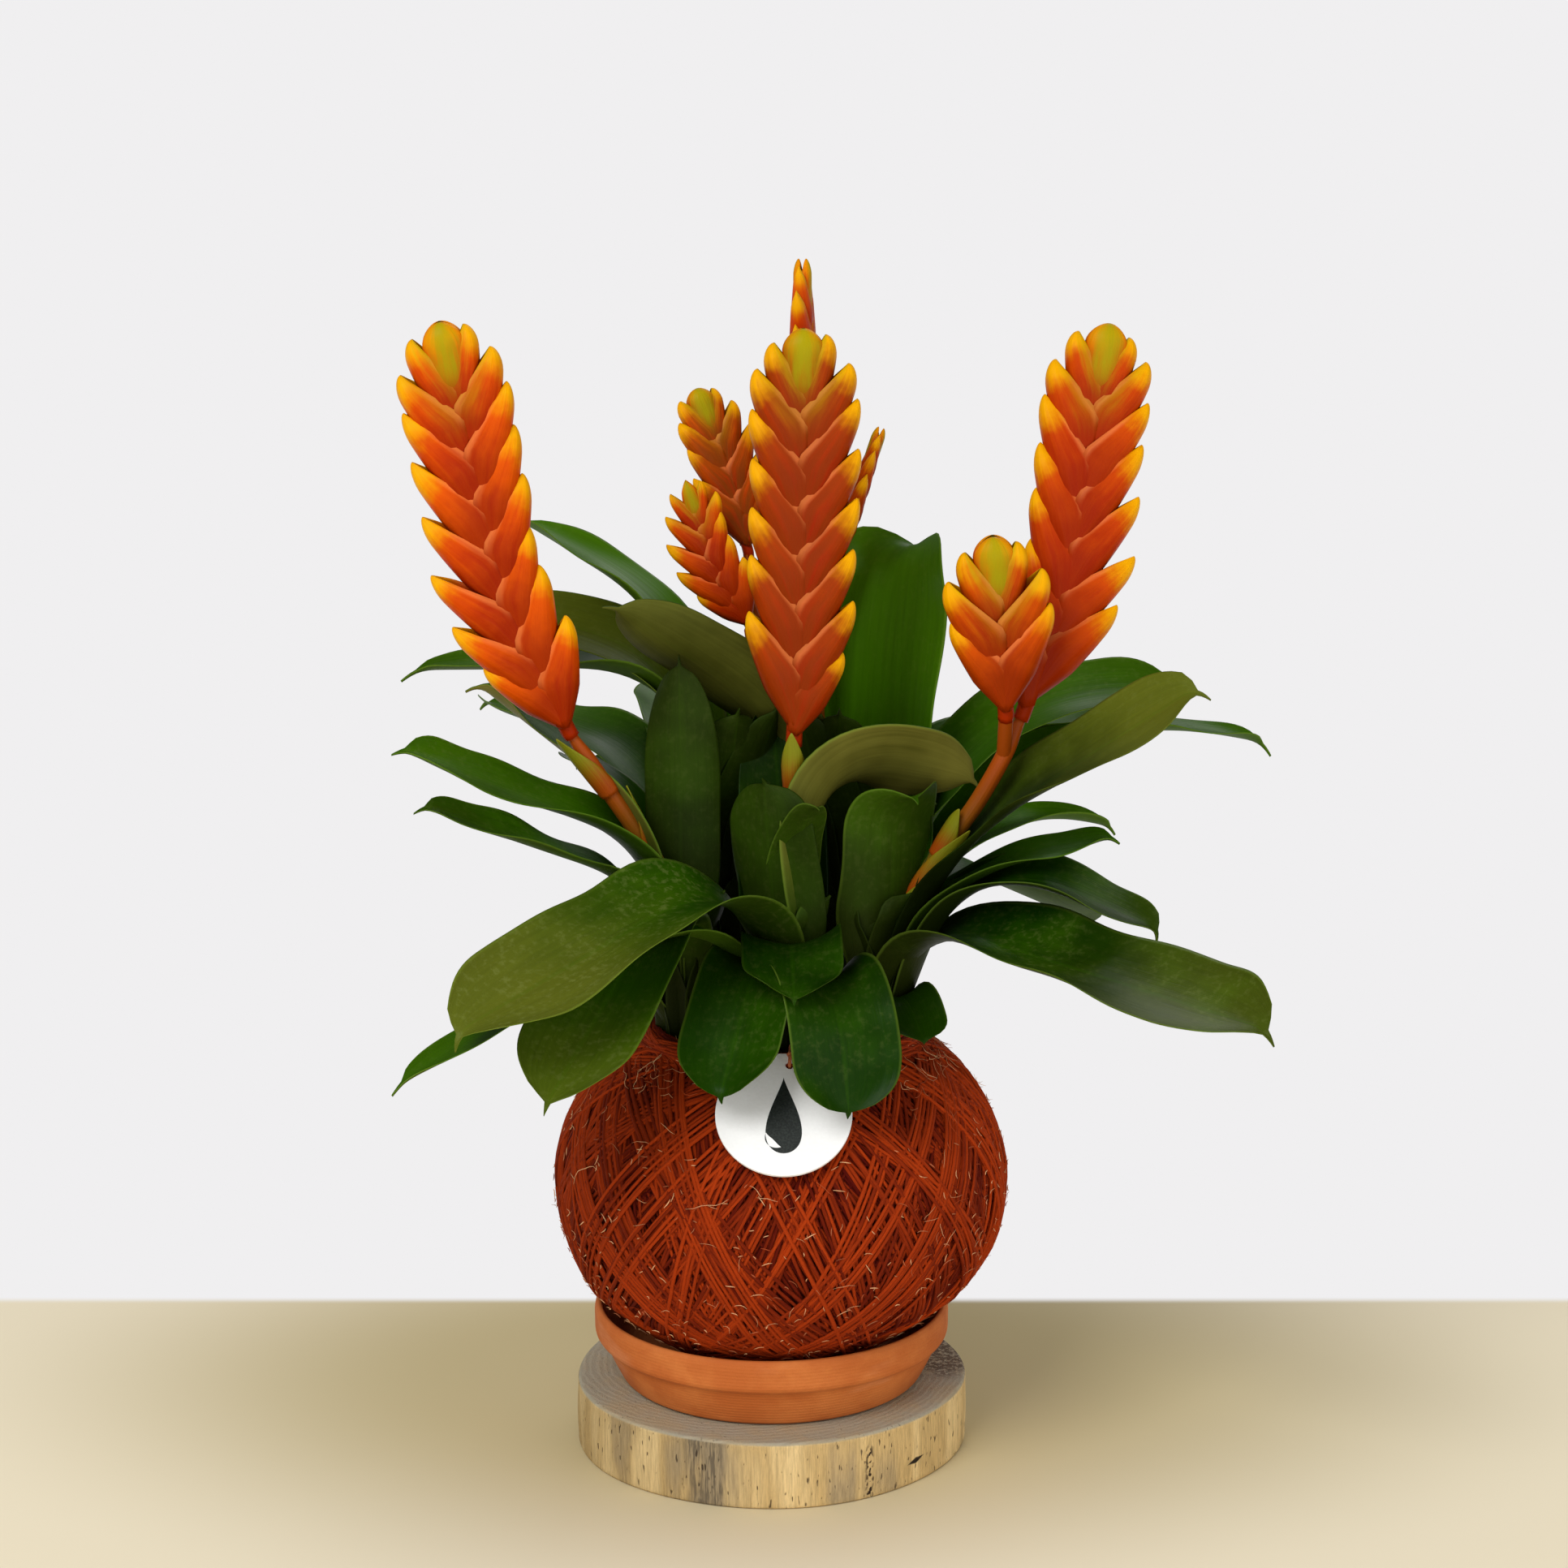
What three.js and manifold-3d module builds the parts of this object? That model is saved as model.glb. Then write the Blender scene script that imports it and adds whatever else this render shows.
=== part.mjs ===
// A vriesea kokedama: five small bromeliads in a ball wound with coir yarn, which sits in a clay dish
// on a slice of wood, with a round tag leaning on its front.
// Millimetres, +Z up. The origin is the centre of the wood's underside, and the front faces -Y.
import * as THREE from "three";
import { mergeVertices } from "three/addons/utils/BufferGeometryUtils.js";
import Module from "manifold-3d";

const wasm = await Module();
wasm.setup();

const degrees = (angle) => (angle * Math.PI) / 180;
const mix = (from, to, share) => from + (to - from) * share;
const vector = (x, y, z) => new THREE.Vector3(x, y, z);

const CLEARANCE = 0.3; // between any two pieces that touch on the real thing
const SLIVER = 0.36; // detail below this is smoothed away where blades are fused

// Driving sizes, read off the photograph at the scale of the tag
const WOOD_RADIUS = 70;
const WOOD_HEIGHT = 24;
const DISH_RADIUS = 63.7;
const DISH_HEIGHT = 27;
const DISH_FOOT_RADIUS = 54.5;
const BALL_RADIUS = 80.5; // half of the ball's width
const BALL_HALF_HEIGHT = 66.4;
const BALL_OFFSET = 3.5; // the ball sits a little to the right in its dish
const MOUTH_RADIUS = 50; // the opening in the top of the winding
const BAND_COUNT = 16; // bands of yarn round the ball
const BAND_HALF_WIDTH = 8;
const BAND_RELIEF = 1.8;
const TAG_RADIUS = 23;
const TAG_THICKNESS = 1.2;
const TAG_OFFSET = 1; // to the right of the ball's middle
const TAG_LEAN = 45; // degrees between the tag's face and upright, flat on the ball there
const TAG_BEDDING = 0.7; // how far the tag lies in between the bands of yarn
const TAG_HOLE = { x: 2, y: 18.5, radius: 1.4 };
const THREAD_RADIUS = 0.6;
const LEAF_THICKNESS = 0.9;
const BRACT_LENGTH = 40;
const BRACT_HALF_THICKNESS = 6.5;
const SPIKE_HALF_WIDTH = 16.5;
const TIP_PITCH = 18.5; // from one pair of bract tips to the next, low on a spike
const CROWDED_PAIRS = 1.9; // how many pairs crowd together at its top
const HEAD_HEIGHT = 24; // of a spike's rounded top
const LOWEST_TIP = 29; // over the end of the stem
const TOP_BRACT_LENGTH = 32; // the broad bract on each face of a spike's top
const TOP_BRACT_HALF_WIDTH = 8;
const TOP_BRACT_KEEL = 5.5; // from its midline to its keel
const STALK_RADIUS = 2.8; // inside a spike
const SPIKE_SEAT_GAP = 0.8; // keeps a stalk that leaves its stem at an angle clear all round
const FIRST_BRACT_RISE = 3; // from the end of the stem to the foot of the lowest bract
const SCAPE_RADIUS = 3.4; // a flower stem
const SHEATH_LENGTH = 22;
const SHEATH_REACH = 3.5; // how far a sheath's tip stands off its stem
const SHEATH_SHARES = [0.45, 0.62, 0.8]; // places of the sheaths along a flower stem

// Sizes that follow from them
const DISH_RIM_Z = WOOD_HEIGHT + DISH_HEIGHT;
const DISH_BAND_HEIGHT = DISH_HEIGHT * 0.43; // the thick rim's own height
const DISH_WALL = DISH_RADIUS * 0.05;
const DISH_FLOOR_Z = WOOD_HEIGHT + CLEARANCE + DISH_WALL * 1.7;
const BALL_Z = DISH_FLOOR_Z + CLEARANCE + BALL_HALF_HEIGHT;
const WRAP_THICKNESS = BALL_RADIUS * 0.1;
const DISH_SQUEEZE = 0.05; // share of the ball's width lost inside the dish
const BAND_TILT = degrees(66); // between a band's axis and upright
const MOUTH_Z = BALL_Z + BALL_HALF_HEIGHT * Math.sqrt(1 - (MOUTH_RADIUS / BALL_RADIUS) ** 2);
const CROWN_Z = MOUTH_Z + 8; // where the leaves leave their short stems
const PLANT_STEM_RADIUS = 8;
const PLANT_STEM_DEPTH = 30; // how far a plant's stem goes down in the soil
const TUBE_RADIUS = 11; // the tight tube of leaf feet over a plant's stem
const TUBE_HEIGHT = 30;
const LEAF_FOOT_OUT = 5.6; // a leaf's foot from the axis of its stem
const LEAF_FOOT_DOWN = 6; // and below the crown

function smoothStep(from, to, value) {
  const share = Math.min(Math.max((value - from) / (to - from), 0), 1);
  return share * share * (3 - 2 * share);
}

// Solids for joins and cuts

function solidOf(geometry) {
  const bare = new THREE.BufferGeometry();
  bare.setAttribute("position", geometry.getAttribute("position"));
  bare.setIndex(geometry.index);
  const merged = mergeVertices(bare, 1e-4);
  const mesh = new wasm.Mesh({
    numProp: 3,
    vertProperties: new Float32Array(merged.attributes.position.array),
    triVerts: new Uint32Array(merged.index.array),
  });
  return new wasm.Manifold(mesh);
}

function geometryOf(solid) {
  const mesh = solid.getMesh();
  const geometry = new THREE.BufferGeometry();
  geometry.setAttribute("position", new THREE.Float32BufferAttribute(mesh.vertProperties, 3));
  geometry.setIndex(new THREE.BufferAttribute(mesh.triVerts, 1));
  geometry.computeVertexNormals();
  return geometry;
}

// The pieces fused into one body, without the slivers and loose scraps that blades leave where they
// graze each other.
function fused(solids) {
  const bodies = wasm.Manifold.union(solids).asOriginal().simplify(SLIVER).decompose();
  return bodies.reduce((largest, body) => (body.volume() > largest.volume() ? body : largest));
}

// Closed geometry from rings of points, each ring anticlockwise seen from the end it runs to.
// The first and last rings are closed with flat fans. The sides listed in `mirrored` are split into
// triangles along their other diagonal.
function skin(rings, mirrored = []) {
  const around = rings[0].length;
  const positions = rings.flat().flatMap((point) => [point.x, point.y, point.z]);
  const faces = [];
  for (let row = 0; row + 1 < rings.length; row += 1) {
    for (let side = 0; side < around; side += 1) {
      const next = (side + 1) % around;
      const low = row * around;
      const high = low + around;
      if (mirrored.includes(side)) {
        faces.push(low + side, low + next, high + side, low + next, high + next, high + side);
      } else {
        faces.push(low + side, low + next, high + next, low + side, high + next, high + side);
      }
    }
  }
  const last = (rings.length - 1) * around;
  for (let side = 1; side + 1 < around; side += 1) {
    faces.push(0, side + 1, side);
    faces.push(last, last + side, last + side + 1);
  }
  const geometry = new THREE.BufferGeometry();
  geometry.setAttribute("position", new THREE.Float32BufferAttribute(positions, 3));
  geometry.setIndex(faces);
  return geometry;
}

// Closed geometry from rings whose first and last ones each lie in a single point.
function closedSkin(rings) {
  return geometryOf(solidOf(skin(rings)));
}

// A solid of revolution about the upright axis from [radius, height] pairs, which run from the bottom
// of the axis round the outside to its top.
function lathed(outline, sides) {
  const places = outline.map(([radius, z]) => new THREE.Vector2(radius, z));
  return new THREE.LatheGeometry(places, sides).rotateX(Math.PI / 2);
}

// A round rod along a list of points, with a radius for each.
function rod(points, radii, sides) {
  const side = vector(0, 0, 0);
  const reference = vector(0, 1, 0);
  const rings = points.map((point, index) => {
    const before = points[Math.max(index - 1, 0)];
    const after = points[Math.min(index + 1, points.length - 1)];
    const along = after.clone().sub(before).normalize();
    side.crossVectors(reference, along).normalize();
    const across = along.clone().cross(side);
    return Array.from({ length: sides }, (_, corner) => {
      const angle = (2 * Math.PI * corner) / sides;
      return point
        .clone()
        .addScaledVector(side, radii[index] * Math.cos(angle))
        .addScaledVector(across, radii[index] * Math.sin(angle));
    });
  });
  return skin(rings);
}

// Wood slice: a smooth sawn round, not quite circular, with eased edges

function woodGeometry() {
  const sides = 40;
  const topEdge = 1.5;
  const bottomEdge = 0.9;
  const belly = 0.4;
  const unevenness = 0.5;
  const levels = [
    { z: 0, inset: bottomEdge },
    { z: bottomEdge, inset: 0 },
    { z: WOOD_HEIGHT / 2, inset: -belly },
    { z: WOOD_HEIGHT - topEdge, inset: 0 },
    { z: WOOD_HEIGHT, inset: topEdge },
  ];
  const rings = levels.map(({ z, inset }) =>
    Array.from({ length: sides }, (_, side) => {
      const angle = (2 * Math.PI * side) / sides;
      const wander = unevenness * (Math.sin(2 * angle + 0.7) + 0.7 * Math.sin(5 * angle + 2.1) - 1);
      const radius = WOOD_RADIUS - inset + wander;
      return vector(radius * Math.cos(angle), radius * Math.sin(angle), z);
    }),
  );
  return skin(rings);
}

// Clay dish: a saucer with a tapering body under a thick rolled rim

function dishGeometry() {
  const foot = WOOD_HEIGHT + CLEARANCE;
  const rim = DISH_RIM_Z;
  const band = rim - DISH_BAND_HEIGHT;
  const inner = DISH_RADIUS - DISH_WALL;
  const step = DISH_WALL; // how far the rim stands out from the body below it
  const roll = DISH_WALL / 2; // the rim's rounding
  return lathed(
    [
      [0, foot],
      [DISH_FOOT_RADIUS - roll, foot],
      [DISH_FOOT_RADIUS, foot + roll],
      [DISH_RADIUS - step, band - roll],
      [DISH_RADIUS - step * 0.4, band],
      [DISH_RADIUS - step * 0.1, band + roll],
      [DISH_RADIUS, rim - roll * 1.5],
      [DISH_RADIUS - roll * 0.4, rim - roll * 0.4],
      [DISH_RADIUS - roll, rim],
      [inner + roll * 0.3, rim - roll * 0.3],
      [inner, rim - roll * 1.4],
      [DISH_FOOT_RADIUS - roll, DISH_FLOOR_Z + DISH_WALL],
      [DISH_FOOT_RADIUS - DISH_WALL * 1.6, DISH_FLOOR_Z],
      [0, DISH_FLOOR_Z],
    ],
    36,
  );
}

// The ball: its radius at a height, narrowed a little where it drops into the dish

function ballRadius(height) {
  const share = Math.min(Math.abs((height - BALL_Z) / BALL_HALF_HEIGHT), 1);
  const inDish = 1 - smoothStep(DISH_RIM_Z - 6, DISH_RIM_Z + 12, height);
  return BALL_RADIUS * Math.sqrt(1 - share * share) * (1 - DISH_SQUEEZE * inDish);
}

// Bands of yarn lie along tilted great circles and cross each other. The relief at a point is the
// height of the highest band over it.
function windingRelief(direction) {
  let relief = 0;
  for (let band = 0; band < BAND_COUNT; band += 1) {
    const turn = (2 * Math.PI * band) / BAND_COUNT + 0.25 * Math.sin(3.1 * band);
    const tilt = BAND_TILT + 0.12 * Math.sin(5.3 * band);
    const pole = vector(
      Math.sin(tilt) * Math.cos(turn),
      Math.sin(tilt) * Math.sin(turn),
      Math.cos(tilt),
    );
    const distance = Math.abs(direction.dot(pole)) * BALL_RADIUS;
    const crest = Math.max(1 - (distance / BAND_HALF_WIDTH) ** 2, 0);
    relief = Math.max(relief, crest * mix(0.6, 1, (band % 3) / 2));
  }
  return relief * BAND_RELIEF;
}

// Coir wrap: a thick shell, open at the top, with the winding raised on its outside

const WRAP_FLOOR_Z = BALL_Z - BALL_HALF_HEIGHT + WRAP_THICKNESS;

// Radius and height of the wrap's smooth inner face, from the mouth down
function wrapInside() {
  const mouth = [MOUTH_RADIUS - WRAP_THICKNESS * 0.6, MOUTH_Z - 2];
  const hollow = [0.75, 0.5, 0.25, 0.08].map((share) => {
    const z = mix(WRAP_FLOOR_Z, MOUTH_Z, share);
    return [ballRadius(z) - WRAP_THICKNESS, z];
  });
  return [mouth, ...hollow];
}

function wrapGeometry() {
  const around = 44;
  const outsideRows = 14;
  const mouthAngle = Math.acos((MOUTH_Z - BALL_Z) / BALL_HALF_HEIGHT);
  const anglesAround = Array.from({ length: around }, (_, side) => (2 * Math.PI * side) / around);
  const outside = Array.from({ length: outsideRows }, (_, row) => {
    const polar = mix(Math.PI, mouthAngle, (row + 1) / outsideRows);
    const z = BALL_Z + BALL_HALF_HEIGHT * Math.cos(polar);
    const radius = ballRadius(z);
    return anglesAround.map((angle) => {
      const direction = vector(
        Math.sin(polar) * Math.cos(angle),
        Math.sin(polar) * Math.sin(angle),
        Math.cos(polar),
      );
      const surface = vector(BALL_OFFSET + radius * Math.cos(angle), radius * Math.sin(angle), z);
      return surface.addScaledVector(direction, windingRelief(direction) - BAND_RELIEF);
    });
  });
  const lip = [MOUTH_RADIUS - WRAP_THICKNESS / 2, MOUTH_Z + 1];
  const inside = [lip, ...wrapInside()].map(([radius, z]) =>
    anglesAround.map((angle) =>
      vector(BALL_OFFSET + radius * Math.cos(angle), radius * Math.sin(angle), z),
    ),
  );
  const pole = (z) => anglesAround.map(() => vector(BALL_OFFSET, 0, z));
  return closedSkin([pole(BALL_Z - BALL_HALF_HEIGHT), ...outside, ...inside, pole(WRAP_FLOOR_Z)]);
}

// Soil: fills the wrap up to its mouth, with a plain hole for each plant's stem

function soilSolid(plants) {
  const hollow = wrapInside().reverse();
  const filling = lathed(
    [
      [0, WRAP_FLOOR_Z + CLEARANCE],
      ...hollow.map(([radius, z]) => [radius - CLEARANCE * 2, z + CLEARANCE]),
      [0, MOUTH_Z + 1],
    ],
    27,
  ).translate(BALL_OFFSET, 0, 0);
  const holeRadius = PLANT_STEM_RADIUS + CLEARANCE * 2;
  const holeBottom = CROWN_Z - PLANT_STEM_DEPTH - CLEARANCE;
  const bore = [
    [0, holeBottom],
    [holeRadius, holeBottom],
    [holeRadius, CROWN_Z],
    [0, CROWN_Z],
  ];
  const holes = Object.values(plants).map(({ x, y }) => solidOf(lathed(bore, 12).translate(x, y, 0)));
  return solidOf(filling).subtract(wasm.Manifold.union(holes));
}

// Leaves

// Half the width of a leaf at a share of its length: a clasping foot, a strap that widens gently and
// an end with a small cusp, which starts to narrow at the share `taper`. 1 is the widest.
function leafProfile(share, foot, taper) {
  const strap = mix(foot, 1, smoothStep(0, 0.5, share));
  const end = Math.min(Math.max((share - taper) / (0.98 - taper), 0), 1);
  const cusp = 0.1 * Math.min((1 - share) / 0.05, 1);
  return Math.max(strap * Math.sqrt(Math.max(1 - end ** 2.4, 0)), cusp);
}

// The direction of a leaf's midrib at a share of its length. It leaves its foot at the angle `rise`
// above the level, turns over round its `knee` and goes on at the angle `fall`.
function leafDirection(leaf, share) {
  const { azimuth, rise, fall, knee, spread, swing = 0, curl = 0 } = leaf;
  const turned = smoothStep(knee - spread, knee + spread, share);
  const lift = degrees(mix(rise, fall, turned) - curl * smoothStep(0.84, 1, share));
  const heading = degrees(azimuth + swing * share * share);
  const along = vector(
    Math.cos(lift) * Math.cos(heading),
    Math.cos(lift) * Math.sin(heading),
    Math.sin(lift),
  );
  const across = vector(-Math.sin(heading), Math.cos(heading), 0);
  return { along, across };
}

// Places of the cross-sections along a blade
const LEAF_SHARES = [0, 0.26, 0.46, 0.64, 0.82, 0.95, 1];
const PLAIN_LEAF_SHARES = [0, 0.3, 0.6, 0.88, 1];

// One leaf blade as a closed solid, with its midrib running from `foot`. The blade is a shallow
// channel, deepest at its foot, and both faces are split into triangles alike.
function leafGeometry(footPoint, leaf) {
  const { length, width, roll = 0, foot = 0.45, cup = 0.35, taper = 0.77, plain = false } = leaf;
  const shares = plain || length < 115 ? PLAIN_LEAF_SHARES : LEAF_SHARES;
  const point = footPoint.clone();
  const rings = shares.map((share, index) => {
    if (index > 0) {
      const before = shares[index - 1];
      const { along } = leafDirection(leaf, (before + share) / 2);
      point.addScaledVector(along, length * (share - before));
    }
    const { along, across } = leafDirection(leaf, share);
    across.applyAxisAngle(along, degrees(roll * share ** 1.5));
    const up = along.clone().cross(across);
    const half = (leafProfile(share, foot, taper) * width) / 2;
    const depth = cup * (1.5 - 1.1 * share) * half;
    const top = [-1, 0, 1].map((side) =>
      point
        .clone()
        .addScaledVector(across, side * half)
        .addScaledVector(up, depth * side * side),
    );
    const under = top.map((place) => place.clone().addScaledVector(up, -LEAF_THICKNESS));
    return [under[0], under[1], under[2], top[2], top[1], top[0]];
  });
  const topSides = [3, 4];
  return skin(rings, topSides);
}

// Where each plant stands in the ball, and the leaves that show in the photograph. Angles in degrees:
// azimuth 0 is to the right, 90 to the back, 180 to the left and 270 to the front.
const PLANTS = {
  left: {
    x: -30,
    y: -6,
    leaves: [
      { azimuth: 174, length: 155, width: 34, rise: 85, fall: 38, knee: 0.5, spread: 0.2, roll: 10, taper: 0.5 },
      { azimuth: 205, length: 168, width: 32, rise: 85, fall: 25, knee: 0.4, spread: 0.2, roll: -30, taper: 0.5 },
      { azimuth: 220, length: 158, width: 24, rise: 80, fall: 24, knee: 0.35, spread: 0.2, roll: -30, taper: 0.5 },
      { azimuth: 250, length: 155, width: 38, rise: 85, fall: -25, knee: 0.3, spread: 0.2, roll: -15 },
      { azimuth: 262, length: 137, width: 26, rise: 90, fall: 88, knee: 0.5, spread: 0.3, taper: 0.65 },
    ],
    fans: [
      { from: 160, to: 185, count: 2, length: 95, width: 30, rise: 70, fall: -15, knee: 0.3, spread: 0.3 },
    ],
    stem: [[-36, -9, 205], [-57, -18, 243], [-68, -22, 261]],
    spikes: [
      { path: [[-86, -27, 300], [-98, -32, 350], [-108, -37, 401]], rank: 5 },
    ],
  },
  centre: {
    x: 6,
    y: -14,
    leaves: [
      { azimuth: 225, length: 192, width: 46, rise: 85, fall: -15, knee: 0.3, spread: 0.25, roll: -20, taper: 0.68 },
      { azimuth: 220, length: 195, width: 20, rise: 80, fall: -20, knee: 0.3, spread: 0.25, taper: 0.5 },
      { azimuth: 250, length: 101, width: 36, rise: 84, fall: -48, knee: 0.38, spread: 0.3 },
      { azimuth: 289, length: 99, width: 38, rise: 62, fall: -74, knee: 0.48, spread: 0.36 },
      { azimuth: 272, length: 86, width: 34, rise: 84, fall: -25, knee: 0.5, spread: 0.3 },
      { azimuth: 285, length: 105, width: 20, rise: 88, fall: 20, knee: 0.75, spread: 0.3, taper: 0.5 },
      { azimuth: 240, length: 98, width: 34, rise: 86, fall: 82, knee: 0.5, spread: 0.3 },
      { azimuth: 13, length: 150, width: 39, rise: 88, fall: -14, knee: 0.64, spread: 0.2, roll: -75, taper: 0.6 },
      { azimuth: 110, length: 88, width: 32, rise: 86, fall: 75, knee: 0.5, spread: 0.3 },
    ],
    fans: [],
    stem: [[8, -16, 226], [8, -18, 257]],
    spikes: [
      { path: [[10, -18, 301], [11, -18, 350], [11, -18, 398]], rank: 0 },
    ],
  },
  right: {
    x: 38,
    y: -4,
    leaves: [
      { azimuth: 300, length: 100, width: 36, rise: 88, fall: 10, knee: 0.85, spread: 0.15 },
      { azimuth: 340, length: 180, width: 38, rise: 88, fall: 35, knee: 0.3, spread: 0.4, roll: 40 },
      { azimuth: 20, length: 135, width: 24, rise: 85, fall: -20, knee: 0.55, spread: 0.5, taper: 0.5 },
      { azimuth: 350, length: 120, width: 26, rise: 88, fall: 15, knee: 0.4, spread: 0.45, roll: 10, taper: 0.5 },
      { azimuth: 340, length: 135, width: 32, rise: 70, fall: -20, knee: 0.5, spread: 0.3, roll: 15, taper: 0.6 },
      { azimuth: 320, length: 185, width: 46, rise: 85, fall: -5, knee: 0.2, spread: 0.2, roll: 20, taper: 0.68 },
      { azimuth: 295, length: 46, width: 22, rise: 75, fall: -40, knee: 0.45, spread: 0.3 },
      { azimuth: 30, length: 84, width: 24, rise: 88, fall: 70, knee: 0.5, spread: 0.3 },
      { azimuth: 150, length: 80, width: 26, rise: 88, fall: 85, knee: 0.5, spread: 0.3 },
    ],
    fans: [],
    stem: [[55, -7, 210], [71, -12, 235], [80, -14, 252], [86, -12, 265]],
    side: [[80, -14, 252], [80, -22, 267]],
    spikes: [
      { path: [[98, -6, 299], [107, -1, 348], [115, 4, 398]], rank: 0 },
      { path: [[78, -27, 290], [74, -30, 330]], rank: 0 },
    ],
  },
  back_right: {
    x: 28,
    y: 26,
    leaves: [
      { azimuth: 55, length: 181, width: 60, rise: 84, fall: 60, knee: 0.85, spread: 0.2, curl: 60 },
      { azimuth: 209, length: 195, width: 37, rise: 86, fall: 34, knee: 0.5, spread: 0.3, roll: 55, taper: 0.6 },
      { azimuth: 12, length: 188, width: 40, rise: 74, fall: -5, knee: 0.6, spread: 0.4, roll: 25 },
      { azimuth: 20, length: 215, width: 28, rise: 70, fall: -15, knee: 0.5, spread: 0.5, taper: 0.5 },
      { azimuth: 297, length: 94, width: 28, rise: 88, fall: 85, knee: 0.5, spread: 0.3 },
    ],
    fans: [
      { from: 40, to: 90, count: 3, length: 185, width: 36, rise: 80, fall: 5, knee: 0.45, spread: 0.3 },
      { from: 40, to: 80, count: 2, length: 150, width: 34, rise: 65, fall: -25, knee: 0.35, spread: 0.3 },
    ],
    stem: [[22, 32, 200], [16, 37, 260], [15, 40, 299]],
    side: [[16, 38, 290], [24, 39, 315]],
    spikes: [
      { path: [[12, 45, 350], [11, 49, 418]], rank: 80, size: 0.8 },
      { path: [[39, 43, 359]], rank: 90, size: 0.6 },
    ],
  },
  back_left: {
    x: -20,
    y: 26,
    leaves: [
      { azimuth: 155, length: 215, width: 38, rise: 88, fall: 25, knee: 0.65, spread: 0.2, roll: 10, taper: 0.6 },
      { azimuth: 170, length: 190, width: 38, rise: 88, fall: 15, knee: 0.65, spread: 0.2, roll: -35, taper: 0.6 },
      { azimuth: 185, length: 215, width: 34, rise: 90, fall: 0, knee: 0.55, spread: 0.2, taper: 0.5 },
      { azimuth: 250, length: 88, width: 32, rise: 88, fall: 85, knee: 0.5, spread: 0.3 },
    ],
    fans: [
      { from: 100, to: 135, count: 3, length: 185, width: 36, rise: 80, fall: 5, knee: 0.45, spread: 0.3 },
      { from: 110, to: 140, count: 2, length: 112, width: 34, rise: 65, fall: -25, knee: 0.3, spread: 0.3 },
    ],
    stem: [[-12, 32, 230], [-4, 37, 270], [-8, 42, 314]],
    side: [[-5, 37, 272], [-7, 29, 289]],
    spikes: [
      { path: [[-15, 47, 340], [-27, 51, 372]], rank: 15, size: 0.7 },
      { path: [[-18, 28, 308], [-30, 29, 342]], rank: 0, size: 0.62 },
    ],
  },
};

// The leaves of a fan, spread evenly from one azimuth to another, every second one shorter and lower
function fanLeaves({ from, to, count, ...leaf }) {
  return Array.from({ length: count }, (_, index) => {
    const low = index % 2;
    return {
      ...leaf,
      plain: true,
      azimuth: mix(from, to, index / (count - 1)),
      length: leaf.length * (1 - 0.1 * low),
      fall: leaf.fall - 12 * low,
    };
  });
}

const leavesOf = (plant) => [...plant.leaves, ...plant.fans.flatMap(fanLeaves)];

// A flower stem's midline, from inside the plant's short stem
const stemCurve = ({ x, y, stem }) => pathOf([[x, y, CROWN_Z - 10], [x, y, CROWN_Z + 10], ...stem]);

const pathOf = (points) => new THREE.CatmullRomCurve3(points.map((place) => vector(...place)));

// The green part of one plant: its short stem with the tight tube of leaf feet above it, its leaves
// and its flower stem, which all grew as one.
function plantSolid(plant) {
  const tube = [
    [0, CROWN_Z - PLANT_STEM_DEPTH],
    [PLANT_STEM_RADIUS, CROWN_Z - PLANT_STEM_DEPTH],
    [PLANT_STEM_RADIUS, MOUTH_Z + 2],
    [TUBE_RADIUS, CROWN_Z + 2],
    [TUBE_RADIUS, CROWN_Z + TUBE_HEIGHT],
    [0, CROWN_Z + TUBE_HEIGHT + 3],
  ];
  const stub = lathed(tube, 12).translate(plant.x, plant.y, 0);
  const blades = leavesOf(plant).map((leaf) => {
    const away = degrees(leaf.azimuth);
    const foot = vector(
      plant.x + LEAF_FOOT_OUT * Math.cos(away),
      plant.y + LEAF_FOOT_OUT * Math.sin(away),
      CROWN_Z - LEAF_FOOT_DOWN,
    );
    return solidOf(leafGeometry(foot, leaf));
  });
  return fused([solidOf(stub), ...blades, ...flowerStemSolids(plant)]);
}

// Flower stems and spikes. Each stem rises in the heart of its plant. A spike is a stalk with
// boat-shaped bracts in two ranks, left and right of it along `rank`, an azimuth.
// One bract: a keeled boat that starts on the stalk at `root`, runs along it and swings out to its tip.
function bractGeometry(root, along, out, length, reach, halfThickness, keelHeight = halfThickness) {
  const normal = along.clone().cross(out).normalize();
  const place = (share) =>
    root
      .clone()
      .addScaledVector(along, length * share)
      .addScaledVector(out, reach * (1 - Math.max(1 - share, 0) ** 1.7));
  const shares = [0, 0.35, 0.8, 1];
  const sides = [0.5, 1, 0.85, 0.15];
  const keels = [0.3, 0.7, 0.65, 0.2];
  const hearts = [0.6, 1.2, 0.75, 0.2];
  const rings = shares.map((share, index) => {
    const step = 0.01;
    const heading = place(share + step).sub(place(share - step)).normalize();
    const outward = normal.clone().cross(heading);
    const middle = place(share);
    return [
      middle.clone().addScaledVector(outward, keels[index] * keelHeight),
      middle.clone().addScaledVector(normal, sides[index] * halfThickness),
      middle.clone().addScaledVector(outward, -hearts[index] * halfThickness),
      middle.clone().addScaledVector(normal, -sides[index] * halfThickness),
    ];
  });
  return skin(rings);
}

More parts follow.
